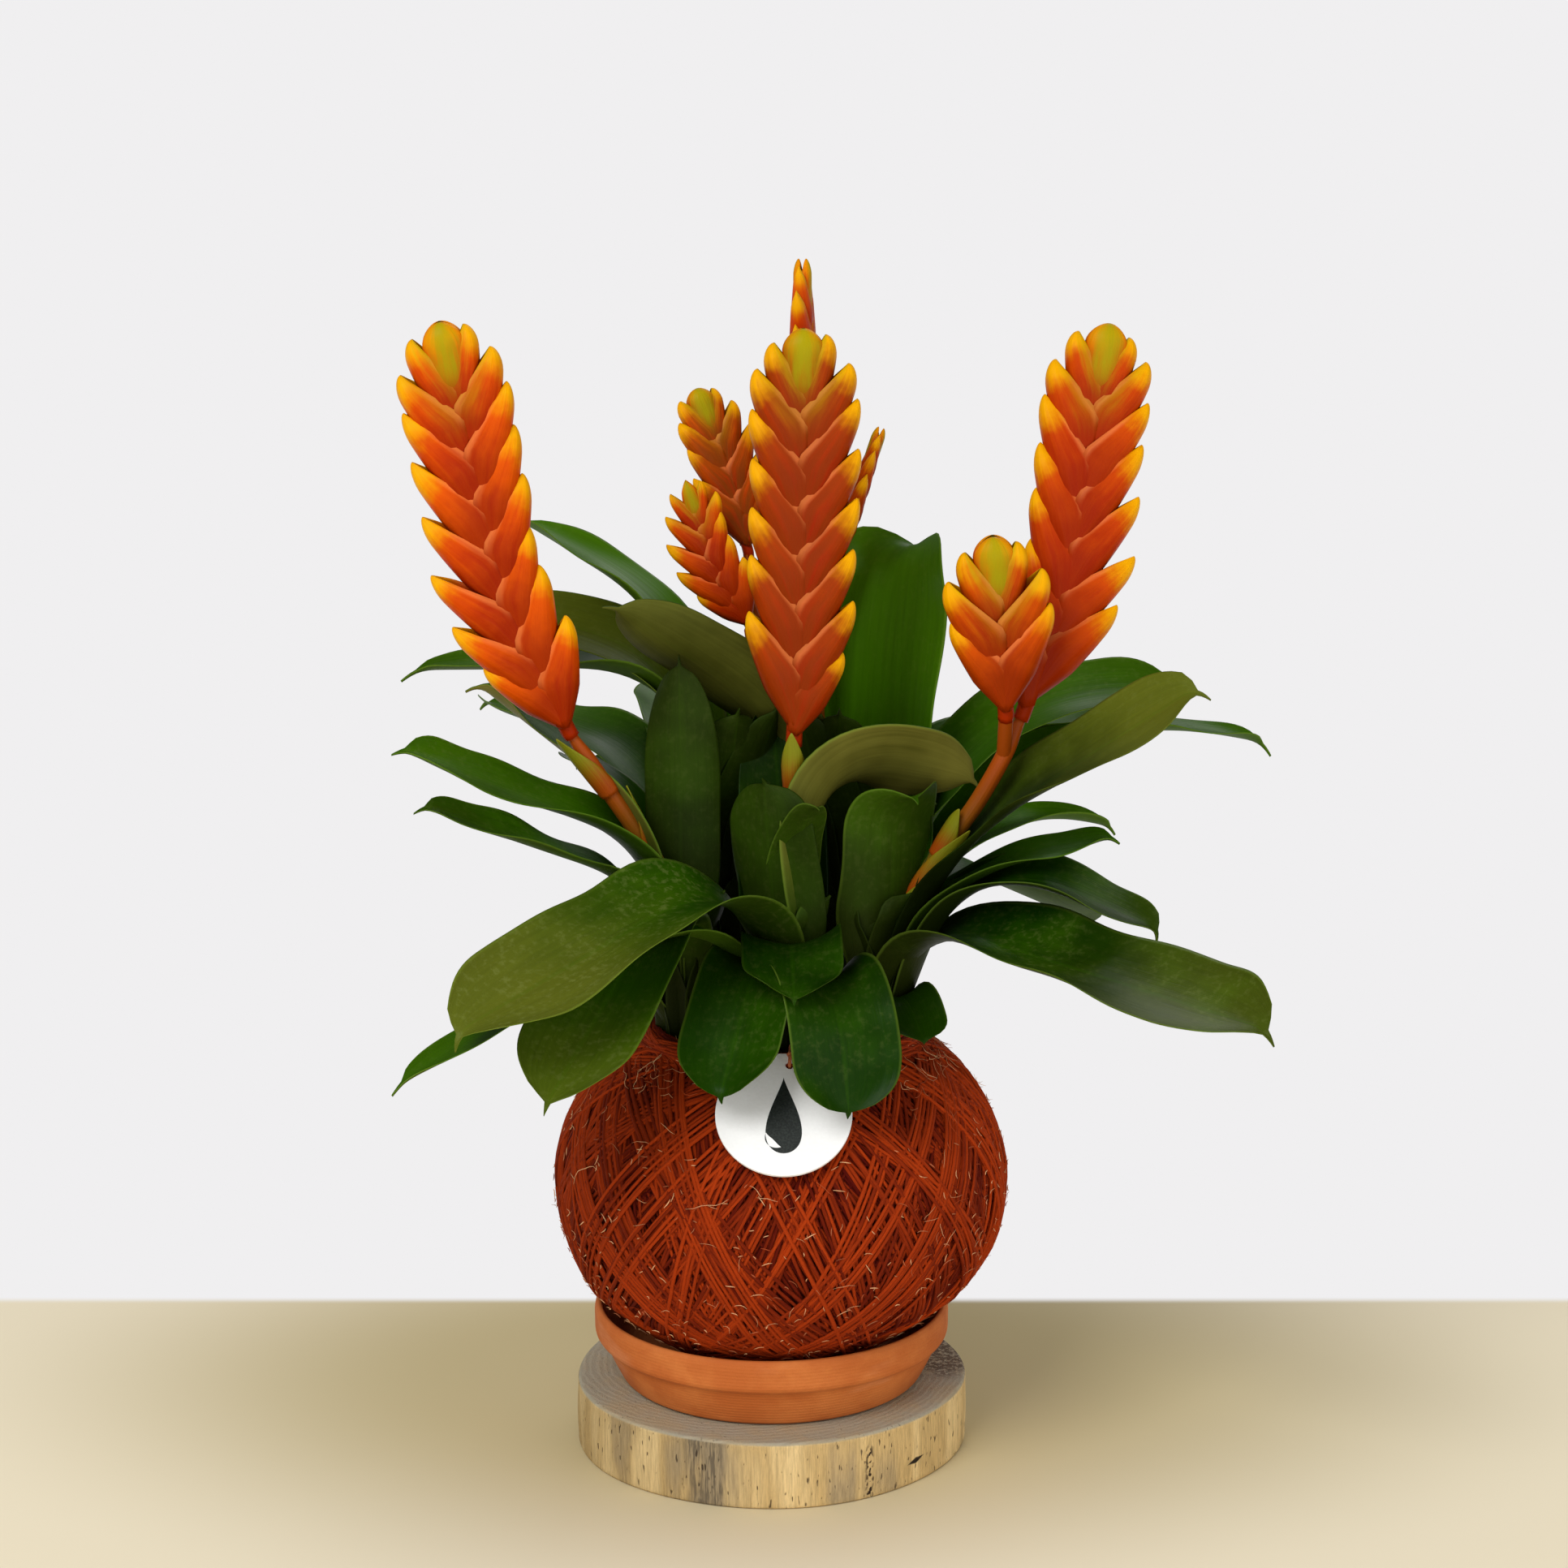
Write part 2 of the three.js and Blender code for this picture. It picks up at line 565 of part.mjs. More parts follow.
// The bracts of a spike, from its tip down. They stand in pairs that crowd together near the top, and
// the right one of a pair is a little higher.
function bractPlaces(spikeLength, size) {
  const places = [];
  for (let pair = 1; ; pair += 1) {
    for (const side of [1, -1]) {
      const level = side > 0 ? pair - 0.25 : pair;
      const crowding = CROWDED_PAIRS * (1 - Math.exp(-level / CROWDED_PAIRS));
      const drop = TIP_PITCH * size * (level - crowding);
      const tip = spikeLength - drop;
      if (tip < LOWEST_TIP * size) {
        return places;
      }
      const head = Math.min(drop / (HEAD_HEIGHT * size), 1);
      const foot = smoothStep(0, 42 * size, tip);
      places.push({
        side,
        tip,
        length: Math.min(BRACT_LENGTH * size * mix(0.8, 1, head), tip - FIRST_BRACT_RISE * size),
        reach: SPIKE_HALF_WIDTH * size * Math.sqrt(1 - (1 - head) ** 2) * mix(0.3, 1, foot),
        half: BRACT_HALF_THICKNESS * size * mix(0.7, 1, foot) * mix(0.8, 1, head),
      });
    }
  }
}

// The first spike of a plant stands on the end of its stem, and the second one on its side branch.
function spikeSolid(plant, index) {
  const { path, rank, size = 1 } = plant.spikes[index];
  const carrier = index ? pathOf(plant.side) : stemCurve(plant);
  const start = carrier.getPointAt(1).addScaledVector(carrier.getTangentAt(1), SPIKE_SEAT_GAP);
  const curve = pathOf([start.toArray(), ...path]);
  const spikeLength = curve.getLength();
  const stalkShares = [0, 0.17, 0.34, 0.51, 0.68, 0.85];
  const stalkPoints = stalkShares.map((share) => curve.getPointAt(share));
  const stalk = rod(stalkPoints, stalkPoints.map(() => STALK_RADIUS * size), 6);
  const rankDirection = vector(Math.cos(degrees(rank)), Math.sin(degrees(rank)), 0);
  const pieces = [solidOf(stalk)];
  for (const { side, tip, length, reach, half } of bractPlaces(spikeLength, size)) {
    const share = (tip - length) / spikeLength;
    const along = curve.getTangentAt(share);
    const out = rankDirection.clone().addScaledVector(along, -rankDirection.dot(along));
    out.normalize().multiplyScalar(side);
    pieces.push(solidOf(bractGeometry(curve.getPointAt(share), along, out, length, reach, half)));
  }
  const topLength = TOP_BRACT_LENGTH * size;
  const topShare = 1 - topLength / spikeLength;
  const along = curve.getTangentAt(topShare);
  for (const face of [1, -1]) {
    const out = along.clone().cross(rankDirection).normalize().multiplyScalar(face);
    const root = curve.getPointAt(topShare);
    const half = TOP_BRACT_HALF_WIDTH * size;
    const keel = TOP_BRACT_KEEL * size;
    pieces.push(solidOf(bractGeometry(root, along, out, topLength, half * 0.2, half, keel)));
  }
  return fused(pieces);
}

// A flower stem with its side branch, and slim pointed sheaths that hug it
function flowerStemSolids(plant) {
  const curve = stemCurve(plant);
  const steps = 9;
  const points = curve.getSpacedPoints(steps);
  const radii = points.map((_, index) => SCAPE_RADIUS * mix(1, 0.85, index / steps));
  const pieces = [solidOf(rod(points, radii, 7))];
  SHEATH_SHARES.forEach((share, index) => {
    const along = curve.getTangentAt(share);
    const side = index % 2 ? 1 : -1;
    const sideways = vector(side, -0.4, 0);
    const out = sideways.addScaledVector(along, -along.dot(sideways)).normalize();
    const root = curve.getPointAt(share).addScaledVector(out, SCAPE_RADIUS * 0.3);
    const half = SCAPE_RADIUS * 1.15;
    pieces.push(solidOf(bractGeometry(root, along, out, SHEATH_LENGTH, SHEATH_REACH, half)));
  });
  if (plant.side) {
    const branch = pathOf(plant.side).getSpacedPoints(2);
    pieces.push(solidOf(rod(branch, branch.map(() => SCAPE_RADIUS * 0.75), 7)));
  }
  return pieces;
}

// Tag: a thin round card that leans on the ball, with a hole for its thread

function tagFrame() {
  const slope = degrees(TAG_LEAN);
  const outward = vector(0, -Math.cos(slope), Math.sin(slope));
  const upward = vector(0, Math.sin(slope), Math.cos(slope));
  const touchAngle = Math.atan((BALL_HALF_HEIGHT / BALL_RADIUS) * Math.tan(slope));
  const touch = vector(
    BALL_OFFSET + TAG_OFFSET,
    -BALL_RADIUS * Math.cos(touchAngle),
    BALL_Z + BALL_HALF_HEIGHT * Math.sin(touchAngle),
  );
  const matrix = new THREE.Matrix4().makeBasis(vector(1, 0, 0), upward, outward);
  matrix.setPosition(touch.addScaledVector(outward, CLEARANCE - TAG_BEDDING));
  return matrix;
}

function tagGeometry() {
  const card = new THREE.Shape().absarc(0, 0, TAG_RADIUS, 0, 2 * Math.PI, false);
  const hole = new THREE.Path().absarc(TAG_HOLE.x, TAG_HOLE.y, TAG_HOLE.radius, 0, 2 * Math.PI, true);
  card.holes.push(hole);
  return new THREE.ExtrudeGeometry(card, {
    depth: TAG_THICKNESS,
    bevelEnabled: false,
    curveSegments: 14,
  }).applyMatrix4(tagFrame());
}

// The thread comes out of the winding above the tag, goes through the hole and ends behind it.
function tagCordSolid() {
  const { x, y } = TAG_HOLE;
  const loop = [
    [x + 0.2, y + 9.5, -4.2],
    [x + 0.4, y + 7.5, 0.8],
    [x + 0.2, y + 3.5, TAG_THICKNESS + 2],
    [x, y + 0.2, TAG_THICKNESS + 0.9],
    [x, y, -0.9],
    [x - 0.3, y + 2, -2.2],
  ];
  const tail = [
    [x + 0.3, y + 5.5, TAG_THICKNESS + 1],
    [x + 4, y + 4.5, TAG_THICKNESS + 2.2],
    [x + 8, y + 2.5, TAG_THICKNESS + 1.6],
    [x + 11, y + 4, TAG_THICKNESS + 1.4],
  ];
  const threads = [loop, tail].map((places) => {
    const points = pathOf(places).getSpacedPoints(9);
    return solidOf(rod(points, points.map(() => THREAD_RADIUS), 5).applyMatrix4(tagFrame()));
  });
  return fused(threads);
}

const kokedama = new THREE.Group();
const finishes = {
  wood: new THREE.MeshStandardMaterial({ color: 0xc2ab82, roughness: 0.75, metalness: 0 }),
  clay: new THREE.MeshStandardMaterial({ color: 0xc06535, roughness: 0.8, metalness: 0 }),
  coir: new THREE.MeshStandardMaterial({ color: 0x7d3216, roughness: 0.9, metalness: 0 }),
  soil: new THREE.MeshStandardMaterial({ color: 0x2a1a10, roughness: 1, metalness: 0 }),
  leaf: new THREE.MeshStandardMaterial({ color: 0x2c4f14, roughness: 0.35, metalness: 0 }),
  bract: new THREE.MeshStandardMaterial({ color: 0xd9480c, roughness: 0.4, metalness: 0 }),
  card: new THREE.MeshStandardMaterial({ color: 0xf4f2ec, roughness: 0.6, metalness: 0 }),
  thread: new THREE.MeshStandardMaterial({ color: 0xa85526, roughness: 0.9, metalness: 0 }),
};

function add(name, geometry, material) {
  const mesh = new THREE.Mesh(geometry, material);
  mesh.name = name;
  kokedama.add(mesh);
}

add("wood_slice", woodGeometry(), finishes.wood);
add("clay_dish", dishGeometry(), finishes.clay);
add("coir_wrap", wrapGeometry(), finishes.coir);
add("soil", geometryOf(soilSolid(PLANTS)), finishes.soil);
add("tag_disc", tagGeometry(), finishes.card);
add("tag_cord", geometryOf(tagCordSolid()), finishes.thread);
for (const [name, plant] of Object.entries(PLANTS)) {
  add(`plant_${name}`, geometryOf(plantSolid(plant)), finishes.leaf);
  plant.spikes.forEach((_, index) => {
    add(`spike_${name}_${index + 1}`, geometryOf(spikeSolid(plant, index)), finishes.bract);
  });
}

export default kokedama;
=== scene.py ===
"""Looks of a vriesea kokedama: bromeliads in a ball wound with coir yarn, on a clay dish and a wood slice.

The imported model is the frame. Lengths in this file are millimetres until a mesh is made, +Z is up, and
the front faces -Y. Angles in the tables are degrees.
"""

import math
import random

import bmesh
import bpy
import numpy as np
from bpy.props import FloatProperty, FloatVectorProperty, IntProperty, PointerProperty
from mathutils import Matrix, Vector


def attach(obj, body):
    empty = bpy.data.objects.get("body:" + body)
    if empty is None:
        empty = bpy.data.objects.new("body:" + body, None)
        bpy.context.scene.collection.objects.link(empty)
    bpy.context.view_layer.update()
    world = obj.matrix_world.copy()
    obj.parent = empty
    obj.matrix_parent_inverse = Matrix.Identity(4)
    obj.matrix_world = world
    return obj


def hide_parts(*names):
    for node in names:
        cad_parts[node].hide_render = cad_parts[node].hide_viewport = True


bl_info = {
    "name": "Vriesea kokedama",
    "version": (1, 0, 0),
    "blender": (4, 5, 0),
    "location": "View3D > Sidebar > Kokedama",
    "description": "Builds the looks of a vriesea kokedama round its packed frame",
    "category": "Object",
}

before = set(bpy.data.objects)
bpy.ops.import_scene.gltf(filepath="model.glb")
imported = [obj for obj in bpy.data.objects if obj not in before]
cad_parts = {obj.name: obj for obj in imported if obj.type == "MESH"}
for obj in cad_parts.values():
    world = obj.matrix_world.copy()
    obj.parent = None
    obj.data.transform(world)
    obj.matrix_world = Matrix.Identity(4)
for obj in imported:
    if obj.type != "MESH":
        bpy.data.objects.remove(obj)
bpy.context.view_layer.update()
MM = 0.001

# Driving sizes, the same as the frame's
CLEARANCE = 0.3
WOOD_RADIUS = 70
WOOD_HEIGHT = 24
DISH_RADIUS = 63.7
DISH_HEIGHT = 27
DISH_FOOT_RADIUS = 54.5
BALL_RADIUS = 80.5
BALL_HALF_HEIGHT = 66.4
BALL_OFFSET = 3.5
MOUTH_RADIUS = 50
TAG_RADIUS = 23
TAG_THICKNESS = 1.2
TAG_LEAN = 45
TAG_OFFSET = 1
TAG_BEDDING = 0.7
TAG_HOLE_X = 2
TAG_HOLE_Y = 18.5
TAG_HOLE_RADIUS = 1.4
THREAD_RADIUS = 0.6
BRACT_LENGTH = 40
BRACT_HALF_THICKNESS = 6.5
SPIKE_HALF_WIDTH = 16.5
STALK_RADIUS = 2.8
SPIKE_SEAT_GAP = 0.8
FIRST_BRACT_RISE = 3
TIP_PITCH = 18.5
CROWDED_PAIRS = 1.9
HEAD_HEIGHT = 24
LOWEST_TIP = 29
TOP_BRACT_LENGTH = 32
TOP_BRACT_HALF_WIDTH = 8
TOP_BRACT_KEEL = 5.5
STEM_RADIUS = 3.4
LEAF_FOOT_OUT = 5.6
LEAF_FOOT_DOWN = 6

# Sizes that follow from them
DISH_RIM_Z = WOOD_HEIGHT + DISH_HEIGHT
DISH_BAND_HEIGHT = DISH_HEIGHT * 0.43
DISH_WALL = DISH_RADIUS * 0.05
DISH_FLOOR_Z = WOOD_HEIGHT + CLEARANCE + DISH_WALL * 1.7
DISH_SQUEEZE = 0.05
BALL_Z = DISH_FLOOR_Z + CLEARANCE + BALL_HALF_HEIGHT
WRAP_THICKNESS = BALL_RADIUS * 0.1
MOUTH_Z = BALL_Z + BALL_HALF_HEIGHT * math.sqrt(1 - (MOUTH_RADIUS / BALL_RADIUS) ** 2)
MOUTH_ANGLE = math.acos((MOUTH_Z - BALL_Z) / BALL_HALF_HEIGHT)
CROWN_Z = MOUTH_Z + 8

# The turn from one band of yarn to the next, the shares of the bands where the two lower layers end,
# and the number of points along a stem, along a spike and along its stalk
GOLDEN_TURN = 2.399963
UNDER_SHARE = 0.4
MIDDLE_SHARE = 0.7
STEM_POINTS = 60
SPINE_POINTS = 240
STALK_POINTS = 200

# Sizes of this file alone: how far off the dish's axis the ball's foot is, how far the felted core and
# the innermost and outermost yarn lie under the ball's surface, how thick a sheath is, how many crumbs
# lie on the soil, and how many degrees one inner leaf is turned from the next
SEAT_OFFSET = 0.8
CORE_DEPTH = 3.5
INNER_YARN_DEPTH = 2.7
OUTER_YARN_DEPTH = 0.3
SHEATH_THICKNESS = 0.45
CRUMB_COUNT = 260
INNER_LEAF_TURN = 137.5

# Seeds, so that each run draws the same numbers
WINDING_SEED = 4
FIBRE_SEED = 11
CRUMB_SEED = 8
LEAF_SEED = 20


def fan(start, end, count, **blade):
    """Leaves spread evenly from one azimuth to another, every second one shorter and lower."""
    leaves = []
    for index in range(count):
        low = index % 2
        one = dict(blade, azimuth=mix(start, end, index / (count - 1)))
        one["length"] = blade["length"] * (1 - 0.1 * low)
        one["fall"] = blade["fall"] - 12 * low
        leaves.append(one)
    return leaves


def leaf(azimuth, length, width, rise, fall, knee, spread, **more):
    """One leaf, which rises from its foot at one angle over the level and ends at another.

    The knee is where along it the turn is halfway, and the spread how far the turn reaches either way.
    """
    size = dict(azimuth=azimuth, length=length, width=width)
    return dict(size, rise=rise, fall=fall, knee=knee, spread=spread, **more)


def mix(start, end, share):
    return start + (end - start) * share


def smooth_step(low, high, value):
    share = np.clip((value - low) / (high - low), 0, 1)
    return share * share * (3 - 2 * share)


# Azimuth 0 is to the right, 90 to the back, 180 to the left and 270 to the front. A leaf's tone runs
# from -1, nearly black, over 0, dark green, to 1, bright green: it is partly the leaf's own green and partly
# painted light and shade, and below 0 it is painted shade on leaves in the heart and in the shadow of others.
# Khaki is how far its underside, and old how far its upper side, has turned to olive, and mottle is how
# freckled it is. Roll turns a leaf about its midrib, curl and cusp_bend turn its end and its tip down, taper
# is where it starts to narrow, and wave is how wavy its edges are. Tall holds the azimuths of the tall inner
# leaves. A sheath has its share of the way up the stem, the azimuth that it faces and its length. A spike's
# rank is the azimuth of its two rows of bracts. Deep and olive darken them, and slim narrows them.
PLANTS = {
    "left": dict(
        x=-30,
        y=-6,
        leaves=[
            leaf(174, 155, 34, 85, 38, 0.5, 0.2, roll=10, taper=0.5, tone=0.35, khaki=0.9),
            leaf(205, 168, 32, 85, 25, 0.4, 0.2, roll=-30, taper=0.5, tone=0.5),
            leaf(220, 158, 24, 80, 24, 0.35, 0.2, roll=-30, taper=0.5, tone=0.35),
            leaf(250, 155, 38, 85, -25, 0.3, 0.2, roll=-15, tone=0.5, old=0.7, mottle=0.8),
            leaf(262, 137, 26, 90, 88, 0.5, 0.3, taper=0.65, tone=-0.6, cusp_bend=10),
        ]
        + fan(160, 185, 2, length=95, width=30, rise=70, fall=-15, knee=0.3, spread=0.3, tone=0.2),
        stem=[(-36, -9, 205), (-57, -18, 243), (-68, -22, 261)],
        sheaths=[(0.45, 200, 26), (0.6, 20, 24), (0.8, 225, 28)],
        spikes=[dict(path=[(-86, -27, 300), (-98, -32, 350), (-108, -37, 401)], rank=5)],
    ),
    "centre": dict(
        x=6,
        y=-14,
        tall=(100,),
        leaves=[
            leaf(225, 190, 46, 85, -15, 0.3, 0.25, roll=-20, taper=0.68, tone=0.3, old=1.0, mottle=1.0),
            leaf(220, 190, 20, 70, -17, 0.28, 0.25, taper=0.5, wave=0.5, tone=0.5, khaki=0.4),
            leaf(250, 101, 36, 84, -48, 0.38, 0.3, tone=0.15, mottle=0.4),
            leaf(289, 99, 38, 62, -74, 0.48, 0.36, tone=0.15, old=0.2, mottle=0.4),
            leaf(272, 86, 34, 84, -25, 0.5, 0.3, tone=-0.3),
            leaf(285, 105, 20, 88, 20, 0.75, 0.3, taper=0.5, tone=0.0),
            leaf(240, 98, 34, 86, 82, 0.5, 0.3, tone=-0.45),
            leaf(13, 150, 39, 88, -14, 0.64, 0.2, roll=-75, taper=0.6, tone=0.2, khaki=1.0),
            leaf(110, 88, 32, 86, 75, 0.5, 0.3, tone=-0.5),
        ],
        stem=[(8, -16, 226), (8, -18, 257)],
        sheaths=[(0.5, 20, 24), (0.66, 330, 24), (0.84, 262, 24)],
        spikes=[dict(path=[(10, -18, 301), (11, -18, 350), (11, -18, 398)], rank=0, deep=1, olive=0.25)],
    ),
    "right": dict(
        x=38,
        y=-4,
        leaves=[
            leaf(300, 100, 36, 88, 10, 0.85, 0.15, tone=-0.1),
            leaf(340, 180, 38, 88, 35, 0.3, 0.4, roll=40, tone=-0.7, old=1.0),
            leaf(20, 135, 24, 85, -20, 0.55, 0.5, taper=0.5, tone=0.45),
            leaf(350, 120, 26, 88, 15, 0.4, 0.45, roll=10, taper=0.5, tone=0.45),
            leaf(340, 135, 32, 70, -20, 0.5, 0.3, roll=15, taper=0.6, tone=0.1, old=0.3),
            leaf(320, 185, 46, 85, -5, 0.2, 0.2, roll=20, taper=0.68, tone=0.0, old=0.5, mottle=0.5),
            leaf(295, 46, 22, 75, -40, 0.45, 0.3, tone=0.4, old=0.4),
            leaf(30, 84, 24, 88, 70, 0.5, 0.3, tone=-0.3),
            leaf(150, 80, 26, 88, 85, 0.5, 0.3, tone=-0.3),
        ],
        stem=[(55, -7, 210), (71, -12, 235), (80, -14, 252), (86, -12, 265)],
        side=[(80, -14, 252), (80, -22, 267)],
        sheaths=[(0.3, 250, 24), (0.42, 300, 36), (0.56, 215, 20)],
        spikes=[
            dict(path=[(98, -6, 299), (107, -1, 348), (115, 4, 398)], rank=0, deep=0.55),
            dict(path=[(78, -27, 290), (74, -30, 330)], rank=0, deep=0.3, olive=0.15),
        ],
    ),
    "back_right": dict(
        x=28,
        y=26,
        tall=(190, 235, 262),
        leaves=[
            leaf(55, 181, 60, 84, 60, 0.85, 0.2, curl=60, tone=0.9, mottle=0.2),
            leaf(209, 195, 37, 86, 34, 0.5, 0.3, roll=55, taper=0.6, tone=-0.25, khaki=0.6),
            leaf(12, 188, 40, 74, -5, 0.6, 0.4, roll=25, tone=0.5),
            leaf(20, 215, 28, 70, -15, 0.5, 0.5, taper=0.5, tone=0.6),
            leaf(297, 94, 28, 88, 85, 0.5, 0.3, tone=-0.5),
        ]
        + fan(40, 90, 3, length=185, width=36, rise=80, fall=5, knee=0.45, spread=0.3, tone=0.4)
        + fan(40, 80, 2, length=150, width=34, rise=65, fall=-25, knee=0.35, spread=0.3, tone=0.4),
        stem=[(22, 32, 200), (16, 37, 260), (15, 40, 299)],
        side=[(16, 38, 290), (24, 39, 315)],
        sheaths=[(0.45, 0, 26), (0.62, 180, 26), (0.8, 20, 26)],
        spikes=[
            dict(path=[(12, 45, 350), (11, 49, 418)], rank=80, size=0.8, deep=0.2, slim=1),
            dict(path=[(39, 43, 359)], rank=90, size=0.6, deep=0.3, olive=0.3, slim=1),
        ],
    ),
    "back_left": dict(
        x=-20,
        y=26,
        tall=(285, 312, 345),
        leaves=[
            leaf(155, 215, 38, 88, 25, 0.65, 0.2, roll=10, taper=0.6, tone=1.0),
            leaf(170, 190, 38, 88, 15, 0.65, 0.2, roll=-35, taper=0.6, tone=0.4, old=0.9),
            leaf(185, 215, 34, 90, 0, 0.55, 0.2, taper=0.5, tone=0.5),
            leaf(250, 88, 32, 88, 85, 0.5, 0.3, tone=-0.5),
        ]
        + fan(100, 135, 3, length=185, width=36, rise=80, fall=5, knee=0.45, spread=0.3, tone=0.4)
        + fan(110, 140, 2, length=112, width=34, rise=65, fall=-25, knee=0.3, spread=0.3, tone=0.35),
        stem=[(-12, 32, 230), (-4, 37, 270), (-8, 42, 314)],
        side=[(-5, 37, 272), (-7, 29, 289)],
        sheaths=[(0.45, 180, 26), (0.62, 0, 26), (0.8, 200, 26)],
        spikes=[
            dict(path=[(-15, 47, 340), (-27, 51, 372)], rank=15, size=0.7, deep=0.35, olive=0.5),
            dict(path=[(-18, 28, 308), (-30, 29, 342)], rank=0, size=0.62, deep=0.3, slim=0.8),
        ],
    ),
}


# Meshes


def rows_of(*places):
    return np.array(places, float)


def unit(vectors):
    return vectors / np.maximum(np.linalg.norm(vectors, axis=-1, keepdims=True), 1e-9)


class Skin:
    """Gathers closed surfaces for one piece, with a place on the surface and four facts for its finish."""

    def __init__(self):
        self.points = []
        self.places = []
        self.facts = []
        self.faces = []
        self.count = 0

    def add_rings(self, rings, places=None, facts=(0, 0, 0, 0), looped=False):
        """Adds a skin over rings of points. Each ring is anticlockwise seen from the end it runs to."""
        rings = np.asarray(rings, float)
        rows, around = rings.shape[:2]
        grid = self.count + np.arange(rows * around).reshape(rows, around)
        low = grid if looped else grid[:-1]
        high = np.roll(grid, -1, axis=0) if looped else grid[1:]
        quads = np.stack([low, np.roll(low, -1, axis=1), np.roll(high, -1, axis=1), high], axis=-1)
        self.faces.extend(quads.reshape(-1, 4).tolist())
        if not looped:
            self.faces.append(grid[0, ::-1].tolist())
            self.faces.append(grid[-1].tolist())
        if places is None:
            places = np.zeros((rows, around, 2))
        self.points.append(rings.reshape(-1, 3))
        self.places.append(np.broadcast_to(places, (rows, around, 2)).reshape(-1, 2))
        self.facts.append(np.broadcast_to(facts, (rows, around, 4)).reshape(-1, 4))
        self.count += rows * around

    def piece(self, name, material, slot, *replaced):
        """Makes the piece's object from all that was added."""
        mesh = bpy.data.meshes.new(name)
        mesh.from_pydata((np.concatenate(self.points) * MM).tolist(), [], self.faces)
        corners = np.zeros(len(mesh.loops), np.int32)
        mesh.loops.foreach_get("vertex_index", corners)
        places = np.concatenate(self.places)
        mesh.uv_layers.new(name="place").data.foreach_set("uv", places[corners].astype(np.float32).ravel())
        facts = mesh.attributes.new("facts", "FLOAT_COLOR", "POINT")
        facts.data.foreach_set("color", np.concatenate(self.facts).astype(np.float32).ravel())
        mesh.shade_smooth()
        return dress(bpy.data.objects.new(name, mesh), material, slot, *replaced)


def dress(thing, material, slot, *replaced):
    """Links a piece, gives it its finish and ties it to the frame."""
    if thing.name not in bpy.context.scene.collection.objects:
        bpy.context.scene.collection.objects.link(thing)
    thing.data.materials.clear()
    thing.data.materials.append(material)
    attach(thing, "root")
    if replaced:
        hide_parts(*replaced)
    return thing


def smooth_path(places, count):
    """Points evenly spaced along a smooth curve through the given places."""
    places = rows_of(*places)
    ends = np.vstack([2 * places[0] - places[1], places, 2 * places[-1] - places[-2]])
    pieces = []
    steps = np.linspace(0, 1, 25)[:, None]
    for before, start, end, after in zip(ends, ends[1:], ends[2:], ends[3:]):
        gap_in, gap, gap_out = (
            max(np.linalg.norm(b - a), 1e-6) ** 0.5 for a, b in ((before, start), (start, end), (end, after))
        )
        leave = (start - before) / gap_in - (end - before) / (gap_in + gap) + (end - start) / gap
        arrive = (end - start) / gap - (after - start) / (gap + gap_out) + (after - end) / gap_out
        leave, arrive = leave * gap, arrive * gap
        cubic = 2 * start - 2 * end + leave + arrive
        square = -3 * start + 3 * end - 2 * leave - arrive
        pieces.append(start + leave * steps + square * steps**2 + cubic * steps**3)
    dense = np.vstack(pieces)
    run = np.concatenate([[0], np.cumsum(np.linalg.norm(np.diff(dense, axis=0), axis=1))])
    spots = np.linspace(0, run[-1], count)
    return np.stack([np.interp(spots, run, dense[:, axis]) for axis in range(3)], axis=1)


def headings(points, looped=False):
    """The unit direction of a path at each of its points."""
    if looped:
        return unit(np.roll(points, -1, axis=0) - np.roll(points, 1, axis=0))
    return unit(np.gradient(points, axis=0))


def tube_rings(points, radii, sides, outward=None, flatness=1.0, looped=False):
    """Rings round a path. `outward` is the way its flat side faces, and `flatness` squeezes it that way."""
    along = headings(points, looped)
    if outward is None:
        outward = np.broadcast_to(rows_of(0.02, -1, 0.01), points.shape)
    side = unit(np.cross(outward, along))
    up = np.cross(along, side)
    angles = np.linspace(0, 2 * np.pi, sides, endpoint=False)
    radii = np.broadcast_to(radii, len(points))[:, None, None]
    return (
        points[:, None]
        + side[:, None] * np.cos(angles)[None, :, None] * radii
        + up[:, None] * np.sin(angles)[None, :, None] * radii * flatness
    )


def lathe_rings(outline, sides, wander=None, centre_x=0.0):
    """Rings round the upright axis from [radius, height] pairs, from the bottom round the outside."""
    angles = np.linspace(0, 2 * np.pi, sides, endpoint=False)
    outline = rows_of(*outline)
    radius = np.repeat(outline[:, :1], sides, axis=1)
    if wander is not None:
        radius = radius + wander(angles)[None, :] * np.minimum(radius / 20, 1)
    height = np.repeat(outline[:, 1:], sides, axis=1)
    return np.stack([centre_x + radius * np.cos(angles), radius * np.sin(angles), height], axis=-1)


def round_tube(sides):
    """A number for each side of a tube that falls from 1 to 0 halfway round and rises again."""
    return np.abs(np.linspace(-1, 1, sides, endpoint=False))


def places_of(across, along):
    """The places [across, along] on a skin, from those across it and those of its rings along it."""
    return np.stack(np.broadcast_arrays(across, along[:, None]), axis=-1)


def rounded(outline, steps):
    """An outline with points added along a smooth curve through it."""
    flat = [(radius, 0, height) for radius, height in outline]
    curve = smooth_path(flat, steps)
    return curve[:, (0, 2)]


# Shader nodes


def linear(share):
    """A share of red, green or blue in linear light."""
    return share / 12.92 if share <= 0.04045 else ((share + 0.055) / 1.055) ** 2.4


def colour(hexadecimal):
    """A colour in linear light, with alpha, from its usual web notation."""
    return tuple(linear(int(hexadecimal[index : index + 2], 16) / 255) for index in (1, 3, 5)) + (1,)


